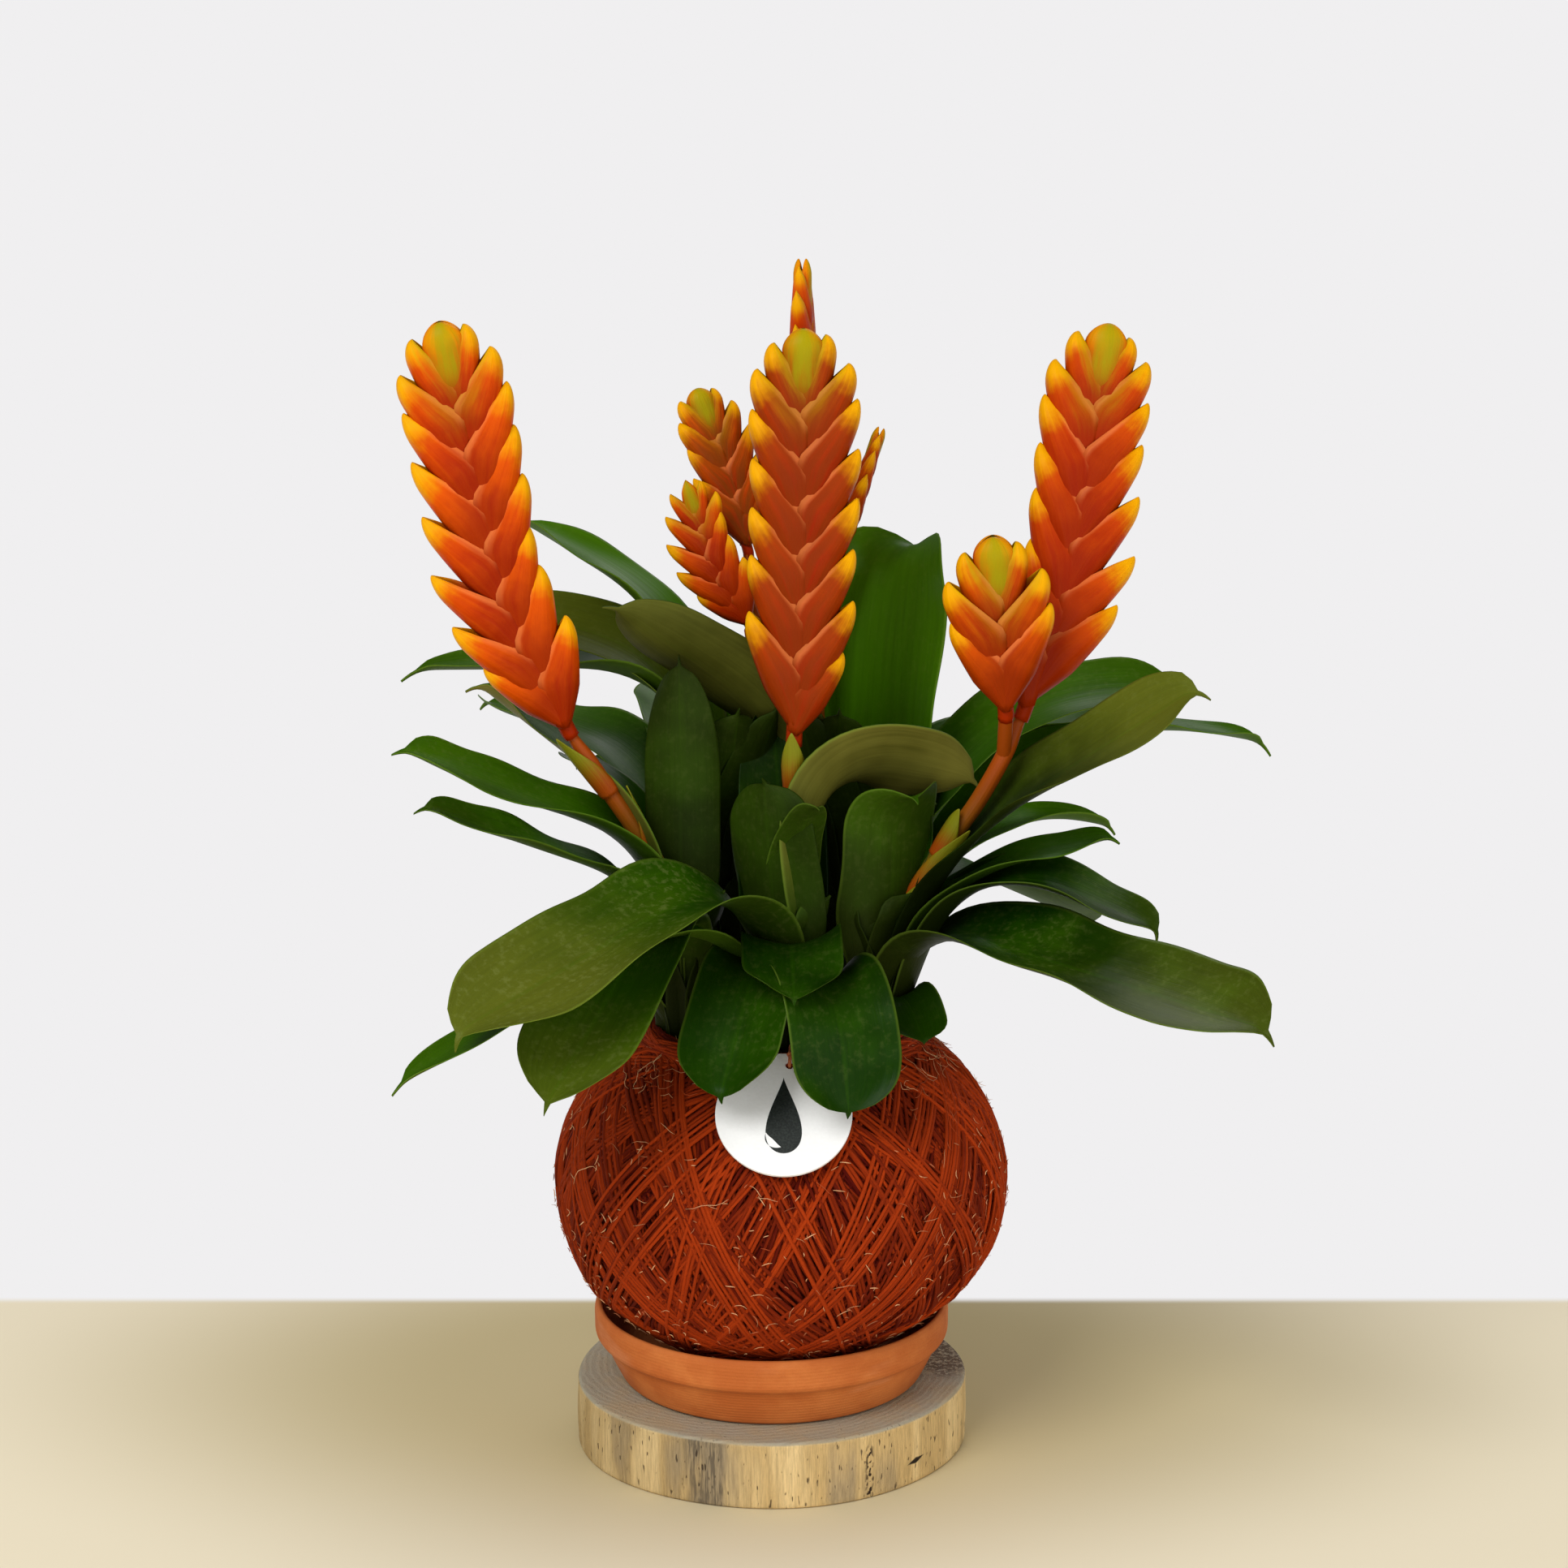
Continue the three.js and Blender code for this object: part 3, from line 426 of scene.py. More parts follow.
class Socket:
    """An output of a shader node. Python's operators on it add Math nodes."""

    def __init__(self, graph, output):
        self.graph = graph
        self.output = output

    def maths(self, operation, *values):
        return self.graph.node("ShaderNodeMath", {"operation": operation}, dict(enumerate(values)))

    def __add__(self, other):
        return self.maths("ADD", self, other)

    def __radd__(self, other):
        return self.maths("ADD", other, self)

    def __sub__(self, other):
        return self.maths("SUBTRACT", self, other)

    def __rsub__(self, other):
        return self.maths("SUBTRACT", other, self)

    def __mul__(self, other):
        return self.maths("MULTIPLY", self, other)

    def __rmul__(self, other):
        return self.maths("MULTIPLY", other, self)

    def __truediv__(self, other):
        return self.maths("DIVIDE", self, other)

    def __pow__(self, other):
        return self.maths("POWER", self, other)

    def __abs__(self):
        return self.maths("ABSOLUTE", self)

    def sine(self):
        return self.maths("SINE", self)

    def step(self, low, high):
        """0 below `low`, 1 above `high` and smooth in between. `low` may be the higher one."""
        start, end, reach = (low, high, (0, 1)) if low < high else (high, low, (1, 0))
        inputs = {"Value": self, "From Min": start, "From Max": end, "To Min": reach[0], "To Max": reach[1]}
        return self.graph.node("ShaderNodeMapRange", {"interpolation_type": "SMOOTHSTEP"}, inputs)


class Graph:
    """A node tree in the making."""

    def __init__(self, tree):
        self.nodes = tree.nodes
        self.links = tree.links

    def node(self, kind, settings=None, inputs=None, output=0):
        """Adds a node: its settings first, then its sockets' values or links. Returns one output."""
        made = self.nodes.new(kind)
        for name, value in (settings or {}).items():
            setattr(made, name, value)
        for name, value in (inputs or {}).items():
            if isinstance(value, Socket):
                self.links.new(value.output, made.inputs[name])
            else:
                made.inputs[name].default_value = value
        return Socket(self, made.outputs[output])


class Finish(Graph):
    """A procedural material in the making."""

    def __init__(self, name, **constants):
        self.material = bpy.data.materials.new(name)
        self.material.use_nodes = True
        super().__init__(self.material.node_tree)
        self.shader = self.nodes["Principled BSDF"]
        for constant, value in constants.items():
            socket = constant.replace("_", " ").title().replace("Ior", "IOR")
            self.shader.inputs[socket].default_value = value

    def position(self):
        return self.node("ShaderNodeTexCoord", output="Object")

    def place(self):
        return self.node("ShaderNodeUVMap", {"uv_map": "place"})

    def facts(self, output="Color"):
        return self.node("ShaderNodeAttribute", {"attribute_name": "facts"}, output=output)

    def parts(self, vector):
        """The three numbers of a vector."""
        split = self.node("ShaderNodeSeparateXYZ", inputs={0: vector})
        return [Socket(self, output) for output in split.output.node.outputs]

    def varied_place(self):
        """The place on a leaf or bract, shifted by its facts, so that no two look the same."""
        return self.node("ShaderNodeVectorMath", {"operation": "ADD"}, {0: self.place(), 1: self.facts()})

    def noise(self, vector, scale, detail=2.0, roughness=0.5):
        """Noise over a vector. The scale is one number, or three that stretch the vector."""
        if isinstance(scale, tuple):
            vector = self.node("ShaderNodeVectorMath", {"operation": "MULTIPLY"}, {0: vector, 1: scale})
            scale = 1.0
        inputs = {"Vector": vector, "Scale": scale, "Detail": detail, "Roughness": roughness}
        return self.node("ShaderNodeTexNoise", {}, inputs)

    def blend(self, factor, first, second):
        """A colour between two others."""
        settings = {"data_type": "RGBA", "clamp_factor": True}
        return self.node("ShaderNodeMix", settings, {0: factor, 6: first, 7: second}, 2)

    def shade(self, base, factor):
        """A colour made darker or lighter by a factor."""
        return self.node("ShaderNodeVectorMath", {"operation": "SCALE"}, {0: base, "Scale": factor})

    def connect(self, socket, value):
        self.links.new(value.output, self.shader.inputs[socket])

    def glow(self, factor, shade):
        """Mixes in an even glow by a factor."""
        glow = self.node("ShaderNodeEmission", {}, {"Color": shade})
        own = Socket(self, self.shader.outputs[0])
        mixed = self.node("ShaderNodeMixShader", {}, {0: factor, 1: own, 2: glow})
        self.links.new(mixed.output, self.nodes["Material Output"].inputs["Surface"])

    def bump(self, height, distance):
        """Relief from a height of 0 to 1 that stands for a distance in millimetres."""
        inputs = {"Height": height, "Distance": distance * MM, "Strength": 1.0}
        self.connect("Normal", self.node("ShaderNodeBump", {}, inputs))


def look_of(context):
    return context.scene.kokedama


# Holder: wood slice, clay dish


def wood_wander(angles):
    """How far the slice's outline departs from a circle."""
    unevenness = 0.5
    return unevenness * (np.sin(2 * angles + 0.7) + 0.7 * np.sin(5 * angles + 2.1) - 1)


def dish_wander(angles):
    """How far the dish's outline departs from a circle."""
    return 0.12 * np.sin(3 * angles + 1) - 0.12


def wood_finish(look):
    """Sawn wood: vertical grain and grey, tan and cream patches on the side, which has painted shade to the
    left and painted light to the right, and growth rings on top.
    """
    wood = Finish("sawn_wood", roughness=0.72, specular_ior_level=0.3)
    position = wood.position()
    x, y, z = wood.parts(position)
    patches = wood.noise(position, (30, 30, 8), 3.0, 0.6)
    side = wood.blend(patches.step(0.36, 0.5), look.wood_grey, look.wood_tan)
    side = wood.blend(wood.noise(position, (60, 60, 9), 2.0).step(0.48, 0.62), side, look.wood_cream)
    grain = wood.noise(position, (1300, 1300, 90), 4.0, 0.7)
    # Grain lines, and painted light and shade across the side: darker to the left, lighter to the right
    side = wood.shade(side, (grain.step(0.3, 0.7) * 0.36 + 0.78) * (x.step(-0.07, 0.05) * 0.3 + 0.82))
    stripe_x, stripe_z = -0.022, 0.012
    stripe = abs(x - stripe_x + (z - stripe_z) * 0.1).step(0.009, 0.004) * y.step(0.0, -0.01)
    streaks = wood.noise(position, (700, 700, 60), 3.0, 0.7)
    side = wood.blend(stripe * streaks.step(0.42, 0.6) * 0.7, side, colour("#4c443a"))
    pits = wood.noise(position, (1000, 1000, 260), 1.0).step(0.68, 0.76)
    side = wood.blend(pits * 0.8, side, colour("#33241a"))
    knots_x, knots_z = 0.034, 0.021
    knot_row = abs(x - knots_x).step(0.002, 0.0004) * (z - knots_z).step(0.0, -0.004)
    specks = wood.noise(position, (900, 900, 500), 1.0).step(0.5, 0.58)
    side = wood.blend(knot_row * specks, side, colour("#2c1c10"))
    spot_x, spot_z = 0.0505, 0.0085
    spot = abs(x - spot_x) / 0.0036 + abs(z - spot_z - (x - spot_x) * 0.25) / 0.0014
    side = wood.blend(spot.step(1.0, 0.6) * y.step(0.0, -0.01), side, colour("#20150f"))
    pith_x, pith_y = -0.012, 0.006
    from_pith = ((x - pith_x) ** 2 + (y - pith_y) ** 2) ** 0.5
    uneven = wood.noise(position, (60, 60, 60), 4.0, 0.6)
    rings = ((from_pith * 2600 + uneven * 16).sine() * 0.5 + 0.5).step(0.2, 1.0)
    top = wood.blend(uneven.step(0.35, 0.65) * 0.35, look.wood_top, look.wood_tan)
    top = wood.shade(top, rings * 0.1 + grain * 0.2 + 0.7)
    # A darker streaky patch at the right rear of the top, behind the dish
    dark_patch_x, dark_patch_y = 0.06, 0.014
    from_dark_patch = ((x - dark_patch_x) ** 2 + (y - dark_patch_y) ** 2) ** 0.5
    dark_patch = (from_dark_patch + uneven * 0.02).step(0.036, 0.024)
    top = wood.blend(dark_patch * streaks.step(0.4, 0.52) * 0.85, top, colour("#4a3220"))
    on_top = z.step((WOOD_HEIGHT - 1.2) * MM, (WOOD_HEIGHT - 0.5) * MM)
    wood.connect("Base Color", wood.blend(on_top, side, top))
    wood.bump(grain * 0.7 + rings * on_top * 0.15 - pits * 0.8, 0.5)
    return wood.material


def clay_finish(look):
    """Unglazed terracotta with a faint lime bloom and fine turning lines."""
    clay = Finish("terracotta", roughness=0.78, specular_ior_level=0.3)
    position = clay.position()
    _, _, z = clay.parts(position)
    cloud = clay.noise(position, (45, 45, 60), 4.0, 0.6)
    body = clay.blend(cloud.step(0.35, 0.7), look.clay_deep, look.clay_light)
    bloom = clay.noise(position, (26, 26, 90), 3.0).step(0.56, 0.72)
    body = clay.blend(bloom * 0.18, body, colour("#e0a680"))
    grain = clay.noise(position, 2200, 2.0)
    clay.connect("Base Color", clay.shade(body, grain * 0.16 + 0.92))
    turning = (z * 5200 + cloud * 3).sine() * 0.5 + 0.5
    clay.bump(turning * 0.35 + grain * 0.5 + cloud * 0.4, 0.16)
    return clay.material


class KOKEDAMA_OT_wood_slice(bpy.types.Operator):
    """Sawn slice of wood with eased edges, saw marks and small pits"""

    bl_idname = "kokedama.wood_slice"
    bl_label = "Wood slice"

    def execute(self, context):
        top_edge, bottom_edge, belly = 1.5, 0.9, 0.4
        flat = np.linspace(0.02, 1, 14) * (WOOD_RADIUS - 3)
        outline = [(radius, 0) for radius in flat]
        outline += [(WOOD_RADIUS - bottom_edge, 0.05), (WOOD_RADIUS - bottom_edge * 0.3, bottom_edge * 0.35)]
        for share in np.linspace(0, 1, 16):
            height = mix(bottom_edge, WOOD_HEIGHT - top_edge, share)
            outline.append((WOOD_RADIUS + belly * math.sin(math.pi * share), height))
        for turn in np.linspace(0.15, 1, 5) * math.pi / 2:
            radius = WOOD_RADIUS - top_edge + top_edge * math.cos(turn)
            outline.append((radius, WOOD_HEIGHT - top_edge + top_edge * math.sin(turn)))
        outline += [(radius, WOOD_HEIGHT) for radius in flat[::-1]]
        rings = lathe_rings(outline, 240, wood_wander)
        angles = np.arctan2(rings[..., 1], rings[..., 0])
        on_side = (rings[..., 2] > bottom_edge) & (rings[..., 2] < WOOD_HEIGHT - top_edge)
        ripple = 0.12 * np.sin(37 * angles + 3 * np.sin(3 * angles)) + 0.08 * np.sin(83 * angles)
        rings[..., :2] *= (1 + on_side * (ripple - 0.2) / WOOD_RADIUS)[..., None]
        wood = Skin()
        wood.add_rings(rings)
        wood.piece("wood_round", wood_finish(look_of(context)), "wood", "wood_slice")
        return {"FINISHED"}


class KOKEDAMA_OT_clay_dish(bpy.types.Operator):
    """Clay dish with a thick rolled rim over a tapering body"""

    bl_idname = "kokedama.clay_dish"
    bl_label = "Clay dish"

    def execute(self, context):
        foot = WOOD_HEIGHT + CLEARANCE
        rim = DISH_RIM_Z
        band = rim - DISH_BAND_HEIGHT
        inner = DISH_RADIUS - DISH_WALL
        step = DISH_WALL
        roll = DISH_WALL / 2
        wall = [
            (DISH_FOOT_RADIUS - roll, foot + 0.05),
            (DISH_FOOT_RADIUS - 0.2, foot + roll * 0.6),
            (DISH_FOOT_RADIUS + 0.6, foot + roll * 1.5),
            (mix(DISH_FOOT_RADIUS, DISH_RADIUS - step, 0.5), mix(foot, band, 0.47)),
            (DISH_RADIUS - step, band - roll),
            (DISH_RADIUS - step * 0.75, band - roll * 0.5),
            (DISH_RADIUS - step * 0.3, band + roll * 0.1),
            (DISH_RADIUS - step * 0.08, band + roll * 0.9),
            (DISH_RADIUS - 0.1, mix(band, rim, 0.5)),
            (DISH_RADIUS - 0.1, rim - roll * 1.7),
            (DISH_RADIUS - roll * 0.4, rim - roll * 0.5),
            (DISH_RADIUS - roll, rim),
            (inner + roll * 0.3, rim - roll * 0.4),
            (inner, rim - roll * 1.5),
            (mix(inner, DISH_FOOT_RADIUS - roll, 0.5), mix(rim, DISH_FLOOR_Z + DISH_WALL, 0.5)),
            (DISH_FOOT_RADIUS - roll, DISH_FLOOR_Z + DISH_WALL),
            (DISH_FOOT_RADIUS - DISH_WALL * 1.6, DISH_FLOOR_Z + 0.1),
        ]
        outline = [(radius, foot) for radius in np.linspace(1, DISH_FOOT_RADIUS - roll * 1.6, 6)]
        outline += [tuple(spot) for spot in rounded(wall, 70)]
        outline += [(radius, DISH_FLOOR_Z) for radius in np.linspace(DISH_FOOT_RADIUS - DISH_WALL * 2, 1, 6)]
        dish = Skin()
        dish.add_rings(lathe_rings(outline, 144, dish_wander))
        dish.piece("terracotta_dish", clay_finish(look_of(context)), "clay", "clay_dish")
        return {"FINISHED"}


# Ball: wound coir yarn, loose fibres, soil


def ball_radius(height):
    """The ball's radius at a height, narrowed a little where it drops into the dish."""
    share = np.clip(np.abs((height - BALL_Z) / BALL_HALF_HEIGHT), 0, 1)
    in_dish = 1 - smooth_step(DISH_RIM_Z - 6, DISH_RIM_Z + 12, height)
    return BALL_RADIUS * np.sqrt(1 - share * share) * (1 - DISH_SQUEEZE * in_dish)


def on_ball(polar, turn, lift):
    """Points at polar angles and turns, lifted off the ball, and their outward directions."""
    height = BALL_Z + BALL_HALF_HEIGHT * np.cos(polar)
    radius = ball_radius(height)
    outward = unit(
        np.stack(
            [
                np.sin(polar) * np.cos(turn) / BALL_RADIUS,
                np.sin(polar) * np.sin(turn) / BALL_RADIUS,
                np.cos(polar) / BALL_HALF_HEIGHT,
            ],
            axis=-1,
        )
    )
    offset = mix(SEAT_OFFSET, BALL_OFFSET, smooth_step(DISH_RIM_Z - 6, DISH_RIM_Z + 30, height))
    spot = np.stack([offset + radius * np.cos(turn), radius * np.sin(turn), height], axis=-1)
    return spot + outward * np.asarray(lift)[..., None], outward


def coir_finish(look, name, has_straw):
    """Coir: red-brown fibres with paler and darker ones along the yarn, and painted shade that darkens it to
    the left.
    """
    coir = Finish(name, roughness=0.82, specular_ior_level=0.1)
    tone, straw, _ = coir.parts(coir.facts())
    strands = coir.noise(coir.place(), (2.5, 9, 1), 3.0, 0.6)
    cloud = coir.noise(coir.position(), 60, 2.0)
    # The tone fact holds painted shade that darkens the lower layers in the gaps, mixed with each strand's
    # own tone
    level = tone * 0.9 + strands * 0.4 + cloud * 0.3 - 0.3
    body = coir.blend(level.step(0.15, 0.85), look.coir_deep, look.coir_light)
    # Painted shade: the coir is darker towards the left
    x, _, _ = coir.parts(coir.position())
    body = coir.shade(body, x.step(-0.08, -0.025) * 0.24 + 0.76)
    if has_straw:
        body = coir.blend(straw, body, look.straw)
    coir.connect("Base Color", body)
    coir.bump(strands, 0.35)
    return coir.material


def yarn_loop(pole_turn, pole_tilt, shift, lift, wobble, segments):
    """One turn of yarn on the ball, round a pole. Near the top it skirts the mouth."""
    sine = math.sin(pole_tilt)
    pole = rows_of(sine * math.cos(pole_turn), sine * math.sin(pole_turn), math.cos(pole_tilt))
    level = unit(np.cross(rows_of(0, 0, 1), pole))
    steep = np.cross(pole, level)
    turns = np.linspace(0, 2 * np.pi, segments, endpoint=False)
    drift = shift + wobble[0] * np.sin(turns * 2 + wobble[1]) + wobble[2] * np.sin(turns * 5 + wobble[3])
    ring = np.sqrt(1 - drift**2)[:, None] * (np.cos(turns)[:, None] * level + np.sin(turns)[:, None] * steep)
    direction = ring + drift[:, None] * pole
    polar = np.arccos(np.clip(direction[:, 2], -1, 1))
    under = np.maximum(MOUTH_ANGLE - polar, 0)
    polar = np.maximum(polar, MOUTH_ANGLE) - 0.22 * under
    rise = lift + 2.2 * smooth_step(0, 0.3, under)
    return on_ball(polar, np.arctan2(direction[:, 1], direction[:, 0]), rise)


class KOKEDAMA_OT_coir_ball(bpy.types.Operator):
    """Coir yarn wound round the ball in crossing bands, over a dark felted core"""

    bl_idname = "kokedama.coir_ball"
    bl_label = "Coir winding"

    def execute(self, context):
        look = look_of(context)
        chance = random.Random(WINDING_SEED)
        yarn = coir_finish(look, "coir_yarn", False)
        bands = []
        for index in range(look.band_count):
            turn = GOLDEN_TURN * index + chance.uniform(-0.25, 0.25)
            tilt = look.band_tilt + math.radians(chance.uniform(-16, 10))
            bands.append((turn, tilt, chance.random()))
        # Name, the shares of the bands where it starts and ends, sides of a yarn, points round a turn
        layers = (
            ("winding_under", 0, UNDER_SHARE, 4, 54),
            ("winding_middle", UNDER_SHARE, MIDDLE_SHARE, 5, 84),
            ("winding_over", MIDDLE_SHARE, 1, 5, 84),
        )
        for name, first, last, sides, segments in layers:
            skin = Skin()
            for index in range(round(first * len(bands)), round(last * len(bands))):
                order = index / (len(bands) - 1)
                self.wind_band(skin, look, chance, bands[index], order, sides, segments)
            skin.piece(name, yarn, "coir", "coir_wrap")
        core = Skin()
        polars = np.linspace(math.pi - 0.02, MOUTH_ANGLE, 40)
        angles = np.linspace(0, 2 * np.pi, 90, endpoint=False)
        polar, turn = np.broadcast_arrays(polars[:, None], angles[None, :])
        spots, _ = on_ball(polar, turn, np.full(polar.shape, -CORE_DEPTH))
        inside = [
            (MOUTH_RADIUS - WRAP_THICKNESS * 0.6, MOUTH_Z - 2),
            (MOUTH_RADIUS - WRAP_THICKNESS * 0.4, MOUTH_Z - 8),
            (1, MOUTH_Z - 9),
        ]
        rings = np.concatenate([spots, lathe_rings(inside, 90, centre_x=BALL_OFFSET)])
        core.add_rings(rings, facts=(0.3, 0, 0, 0))
        core.piece("winding_core", coir_finish(look, "coir_felt", False), "coir", "coir_wrap")
        return {"FINISHED"}

    def wind_band(self, skin, look, chance, band, order, sides, segments):
        """Adds one band of parallel turns. Later bands, of a higher order, lie further out."""
        turn, tilt, tone = band
        is_under = order < UNDER_SHARE
        turns = chance.randint(8, 10) if is_under else chance.randint(4, 7)
        pitch = look.yarn_width * (1.1 if is_under else chance.uniform(1.12, 1.6))
        for row in range(turns):
            shift = (row - turns / 2) * pitch / BALL_RADIUS
            lift = mix(-INNER_YARN_DEPTH, -OUTER_YARN_DEPTH, order) + chance.uniform(-0.45, 0.35)
            wobble = [chance.uniform(0, most) for most in (0.006, 6, 0.003, 6)]
            lean = chance.uniform(-0.012, 0.012)
            spots, outward = yarn_loop(turn + lean, tilt + lean, shift, lift, wobble, segments)
            width = look.yarn_width / 2 * chance.uniform(0.8, 1.12)
            rings = tube_rings(spots, width, sides, outward, 0.8, looped=True)
            run = np.concatenate([[0], np.cumsum(np.linalg.norm(np.diff(spots, axis=0), axis=1))])
            run = np.minimum(run, run[-1] - run) / 10
            places = places_of(round_tube(sides), run)[..., ::-1]
            # Lower bands are painted darker as shade in the gaps under the upper ones, with each strand's own
            # random tone
            shade = 0.5 * order + 0.15 * tone + 0.5 * chance.random() - 0.1
            skin.add_rings(rings, places + chance.uniform(0, 50), (shade, 0, 0, 0), looped=True)


def fibre_rings(chance, polar, length, lift, stray, radius, curl):
    """A loose fibre that lies on the ball and stands off it a little at its ends. None is on the tag."""
    count = 4 + int(length / 4)
    steps = np.linspace(-0.5, 0.5, count)
    turn = chance.uniform(0, 2 * math.pi)
    heading = chance.uniform(0, 2 * math.pi)
    bend = chance.uniform(-curl, curl)
    wave = chance.uniform(0, 6)
    run = steps * length / BALL_RADIUS
    angle = heading + bend * steps + 0.2 * curl * np.sin(steps * 7 + wave)
    polars = polar + run * np.cos(angle)
    turns = turn + run * np.sin(angle) / max(math.sin(polar), 0.3)
    ends = np.abs(steps * 2) ** 2
    rise = lift + stray * ends * (0.4 + 0.6 * (steps > 0))
    spots, outward = on_ball(polars, turns, rise)
    right, up, _, middle = tag_frame()
    away = np.hypot((spots - middle) @ right, (spots - middle) @ up)
    if spots[:, 1].min() < 0 and away.min() < TAG_RADIUS + 1:
        return None
    return tube_rings(spots, radius * (1 - 0.6 * ends), 3, outward + 0.01)


class KOKEDAMA_OT_loose_fibres(bpy.types.Operator):
    """Short straw-coloured bits and long loose hairs of coir that stick out of the winding"""

    bl_idname = "kokedama.loose_fibres"
    bl_label = "Loose fibres"

    def execute(self, context):
        look = look_of(context)
        chance = random.Random(FIBRE_SEED)
        skin = Skin()
        kinds = (
            # How many, lowest and highest cosine of the polar angle, lengths, stray, radius, curl
            (1.0, -0.85, 0.45, 1.5, 4.5, 0.6, 0.2, 0.3),
            (0.5, -0.85, 0.7, 3.0, 8.0, 1.8, 0.11, 0.5),
            (0.03, 0.1, 0.72, 14, 44, 2.5, 0.14, 0.9),
            (0.3, 0.66, 0.84, 5, 18, 2.0, 0.14, 1.6),
        )
        for share, low, high, shortest, longest, stray, radius, curl in kinds:
            for _ in range(int(look.fibre_count * share)):
                polar = math.acos(chance.uniform(low, high))
                length = mix(shortest, longest, chance.random() ** 2)
                rings = fibre_rings(chance, polar, length, 0.35, chance.uniform(0.1, stray), radius, curl)
                if rings is not None:
                    skin.add_rings(rings, facts=(chance.uniform(0.5, 1), chance.random() ** 1.2, 0, 0))
        skin.piece("loose_fibres", coir_finish(look, "coir_hair", True), "coir")
        return {"FINISHED"}


def crumb_rings(size, turn):
    """A crumb of soil about its own middle."""

    def wander(angles):
        return size * 0.25 * np.sin(2 * angles + turn)

    outline = [(size * out, size * up) for out, up in ((0.3, -0.8), (1, -0.2), (0.8, 0.5), (0.2, 0.8))]
    return lathe_rings(outline, 6, wander)


class KOKEDAMA_OT_soil(bpy.types.Operator):
    """Peaty soil in the mouth of the ball, with crumbs and bits of fibre"""

    bl_idname = "kokedama.soil"
    bl_label = "Soil"

    def execute(self, context):
        peat = Finish("peat", roughness=0.95, specular_ior_level=0.2)
        position = peat.position()
        clods = peat.noise(position, 260, 4.0, 0.7)
        peat.connect("Base Color", peat.blend(clods.step(0.4, 0.75), colour("#120a06"), colour("#4a2c18")))
        peat.bump(clods, 2.0)
        chance = random.Random(CRUMB_SEED)
        edge = MOUTH_RADIUS - WRAP_THICKNESS * 0.6
        outline = [(2, MOUTH_Z - 7), (edge - 2, MOUTH_Z - 7), (edge, MOUTH_Z - 4)]
        outline += [(edge * share, MOUTH_Z - 1 + 2 * (1 - share**2)) for share in np.linspace(0.98, 0.02, 30)]
        rings = lathe_rings(outline, 96, centre_x=BALL_OFFSET)
        x, y = rings[..., 0], rings[..., 1]
        lumps = np.sin(x * 0.9 + 2 * np.sin(y * 0.35)) * np.sin(y * 0.8 + 1.5 * np.sin(x * 0.4))
        rings[..., 2] += 0.8 * lumps * (rings[..., 2] > MOUTH_Z - 3)
        soil = Skin()
        soil.add_rings(rings)
        for _ in range(CRUMB_COUNT):
            away = edge * math.sqrt(chance.random()) * 0.95
            turn = chance.uniform(0, 2 * math.pi)
            size = chance.uniform(0.6, 2.0)
            height = MOUTH_Z + 1.4 - 1.6 * (away / edge) ** 2
            centre = rows_of(BALL_OFFSET + away * math.cos(turn), away * math.sin(turn), height)
            soil.add_rings(crumb_rings(size, turn) + centre)
        soil.piece("peat_top", peat.material, "soil", "soil")
        return {"FINISHED"}


# Tag and its thread


def tag_frame():
    """The tag's right, up and outward directions and the middle of its back."""
    slope = math.radians(TAG_LEAN)
    right = rows_of(1, 0, 0)
    up = rows_of(0, math.sin(slope), math.cos(slope))
    outward = rows_of(0, -math.cos(slope), math.sin(slope))
    touch = math.atan(BALL_HALF_HEIGHT / BALL_RADIUS * math.tan(slope))
    middle = rows_of(
        BALL_OFFSET + TAG_OFFSET, -BALL_RADIUS * math.cos(touch), BALL_Z + BALL_HALF_HEIGHT * math.sin(touch)
    )
    return right, up, outward, middle + outward * (CLEARANCE - TAG_BEDDING)


def on_tag(places):
    """Points from places [right, up, outward] on the tag."""
    right, up, outward, middle = tag_frame()
    places = rows_of(*places)
    return middle + places[:, :1] * right + places[:, 1:2] * up + places[:, 2:] * outward


def plate(name, outlines, low, high, bevel):
    """A flat plate on the tag, from its outline and its holes' outlines, with eased edges."""
    form = bmesh.new()
    edges = []
    for outline in outlines:
        corners = [form.verts.new(spot * MM) for spot in on_tag([(x, y, low) for x, y in outline])]
        edges += [form.edges.new((a, b)) for a, b in zip(corners, corners[1:] + corners[:1])]
    bmesh.ops.triangle_fill(form, edges=edges, use_beauty=True)
    _, _, outward, _ = tag_frame()
    raised = bmesh.ops.extrude_face_region(form, geom=form.faces[:])
    moved = [part for part in raised["geom"] if isinstance(part, bmesh.types.BMVert)]
    bmesh.ops.translate(form, verts=moved, vec=Vector(outward * (high - low) * MM))
    bmesh.ops.recalc_face_normals(form, faces=form.faces[:])
    if bevel:
        sharp = [edge for edge in form.edges if edge.is_manifold and edge.calc_face_angle() > 1]
        bmesh.ops.bevel(form, geom=sharp, offset=bevel * MM, segments=3, profile=0.5, affect="EDGES")
    mesh = bpy.data.meshes.new(name)
    form.to_mesh(mesh)
    form.free()
    return bpy.data.objects.new(name, mesh)


def circle(radius, sides, x=0.0, y=0.0):
    turns = [2 * math.pi * side / sides for side in range(sides)]
    return [(x + radius * math.cos(turn), y + radius * math.sin(turn)) for turn in turns]


def drop_outline(size, y):
    """The outline of a water drop that stands on its round end."""
    sides = 64
    places = []
    for side in range(sides):
        turn = 2 * math.pi * side / sides
        places.append((size * 0.62 * math.sin(turn) * math.sin(turn / 2) ** 1.6, y + size * math.cos(turn)))
    return places[::-1]


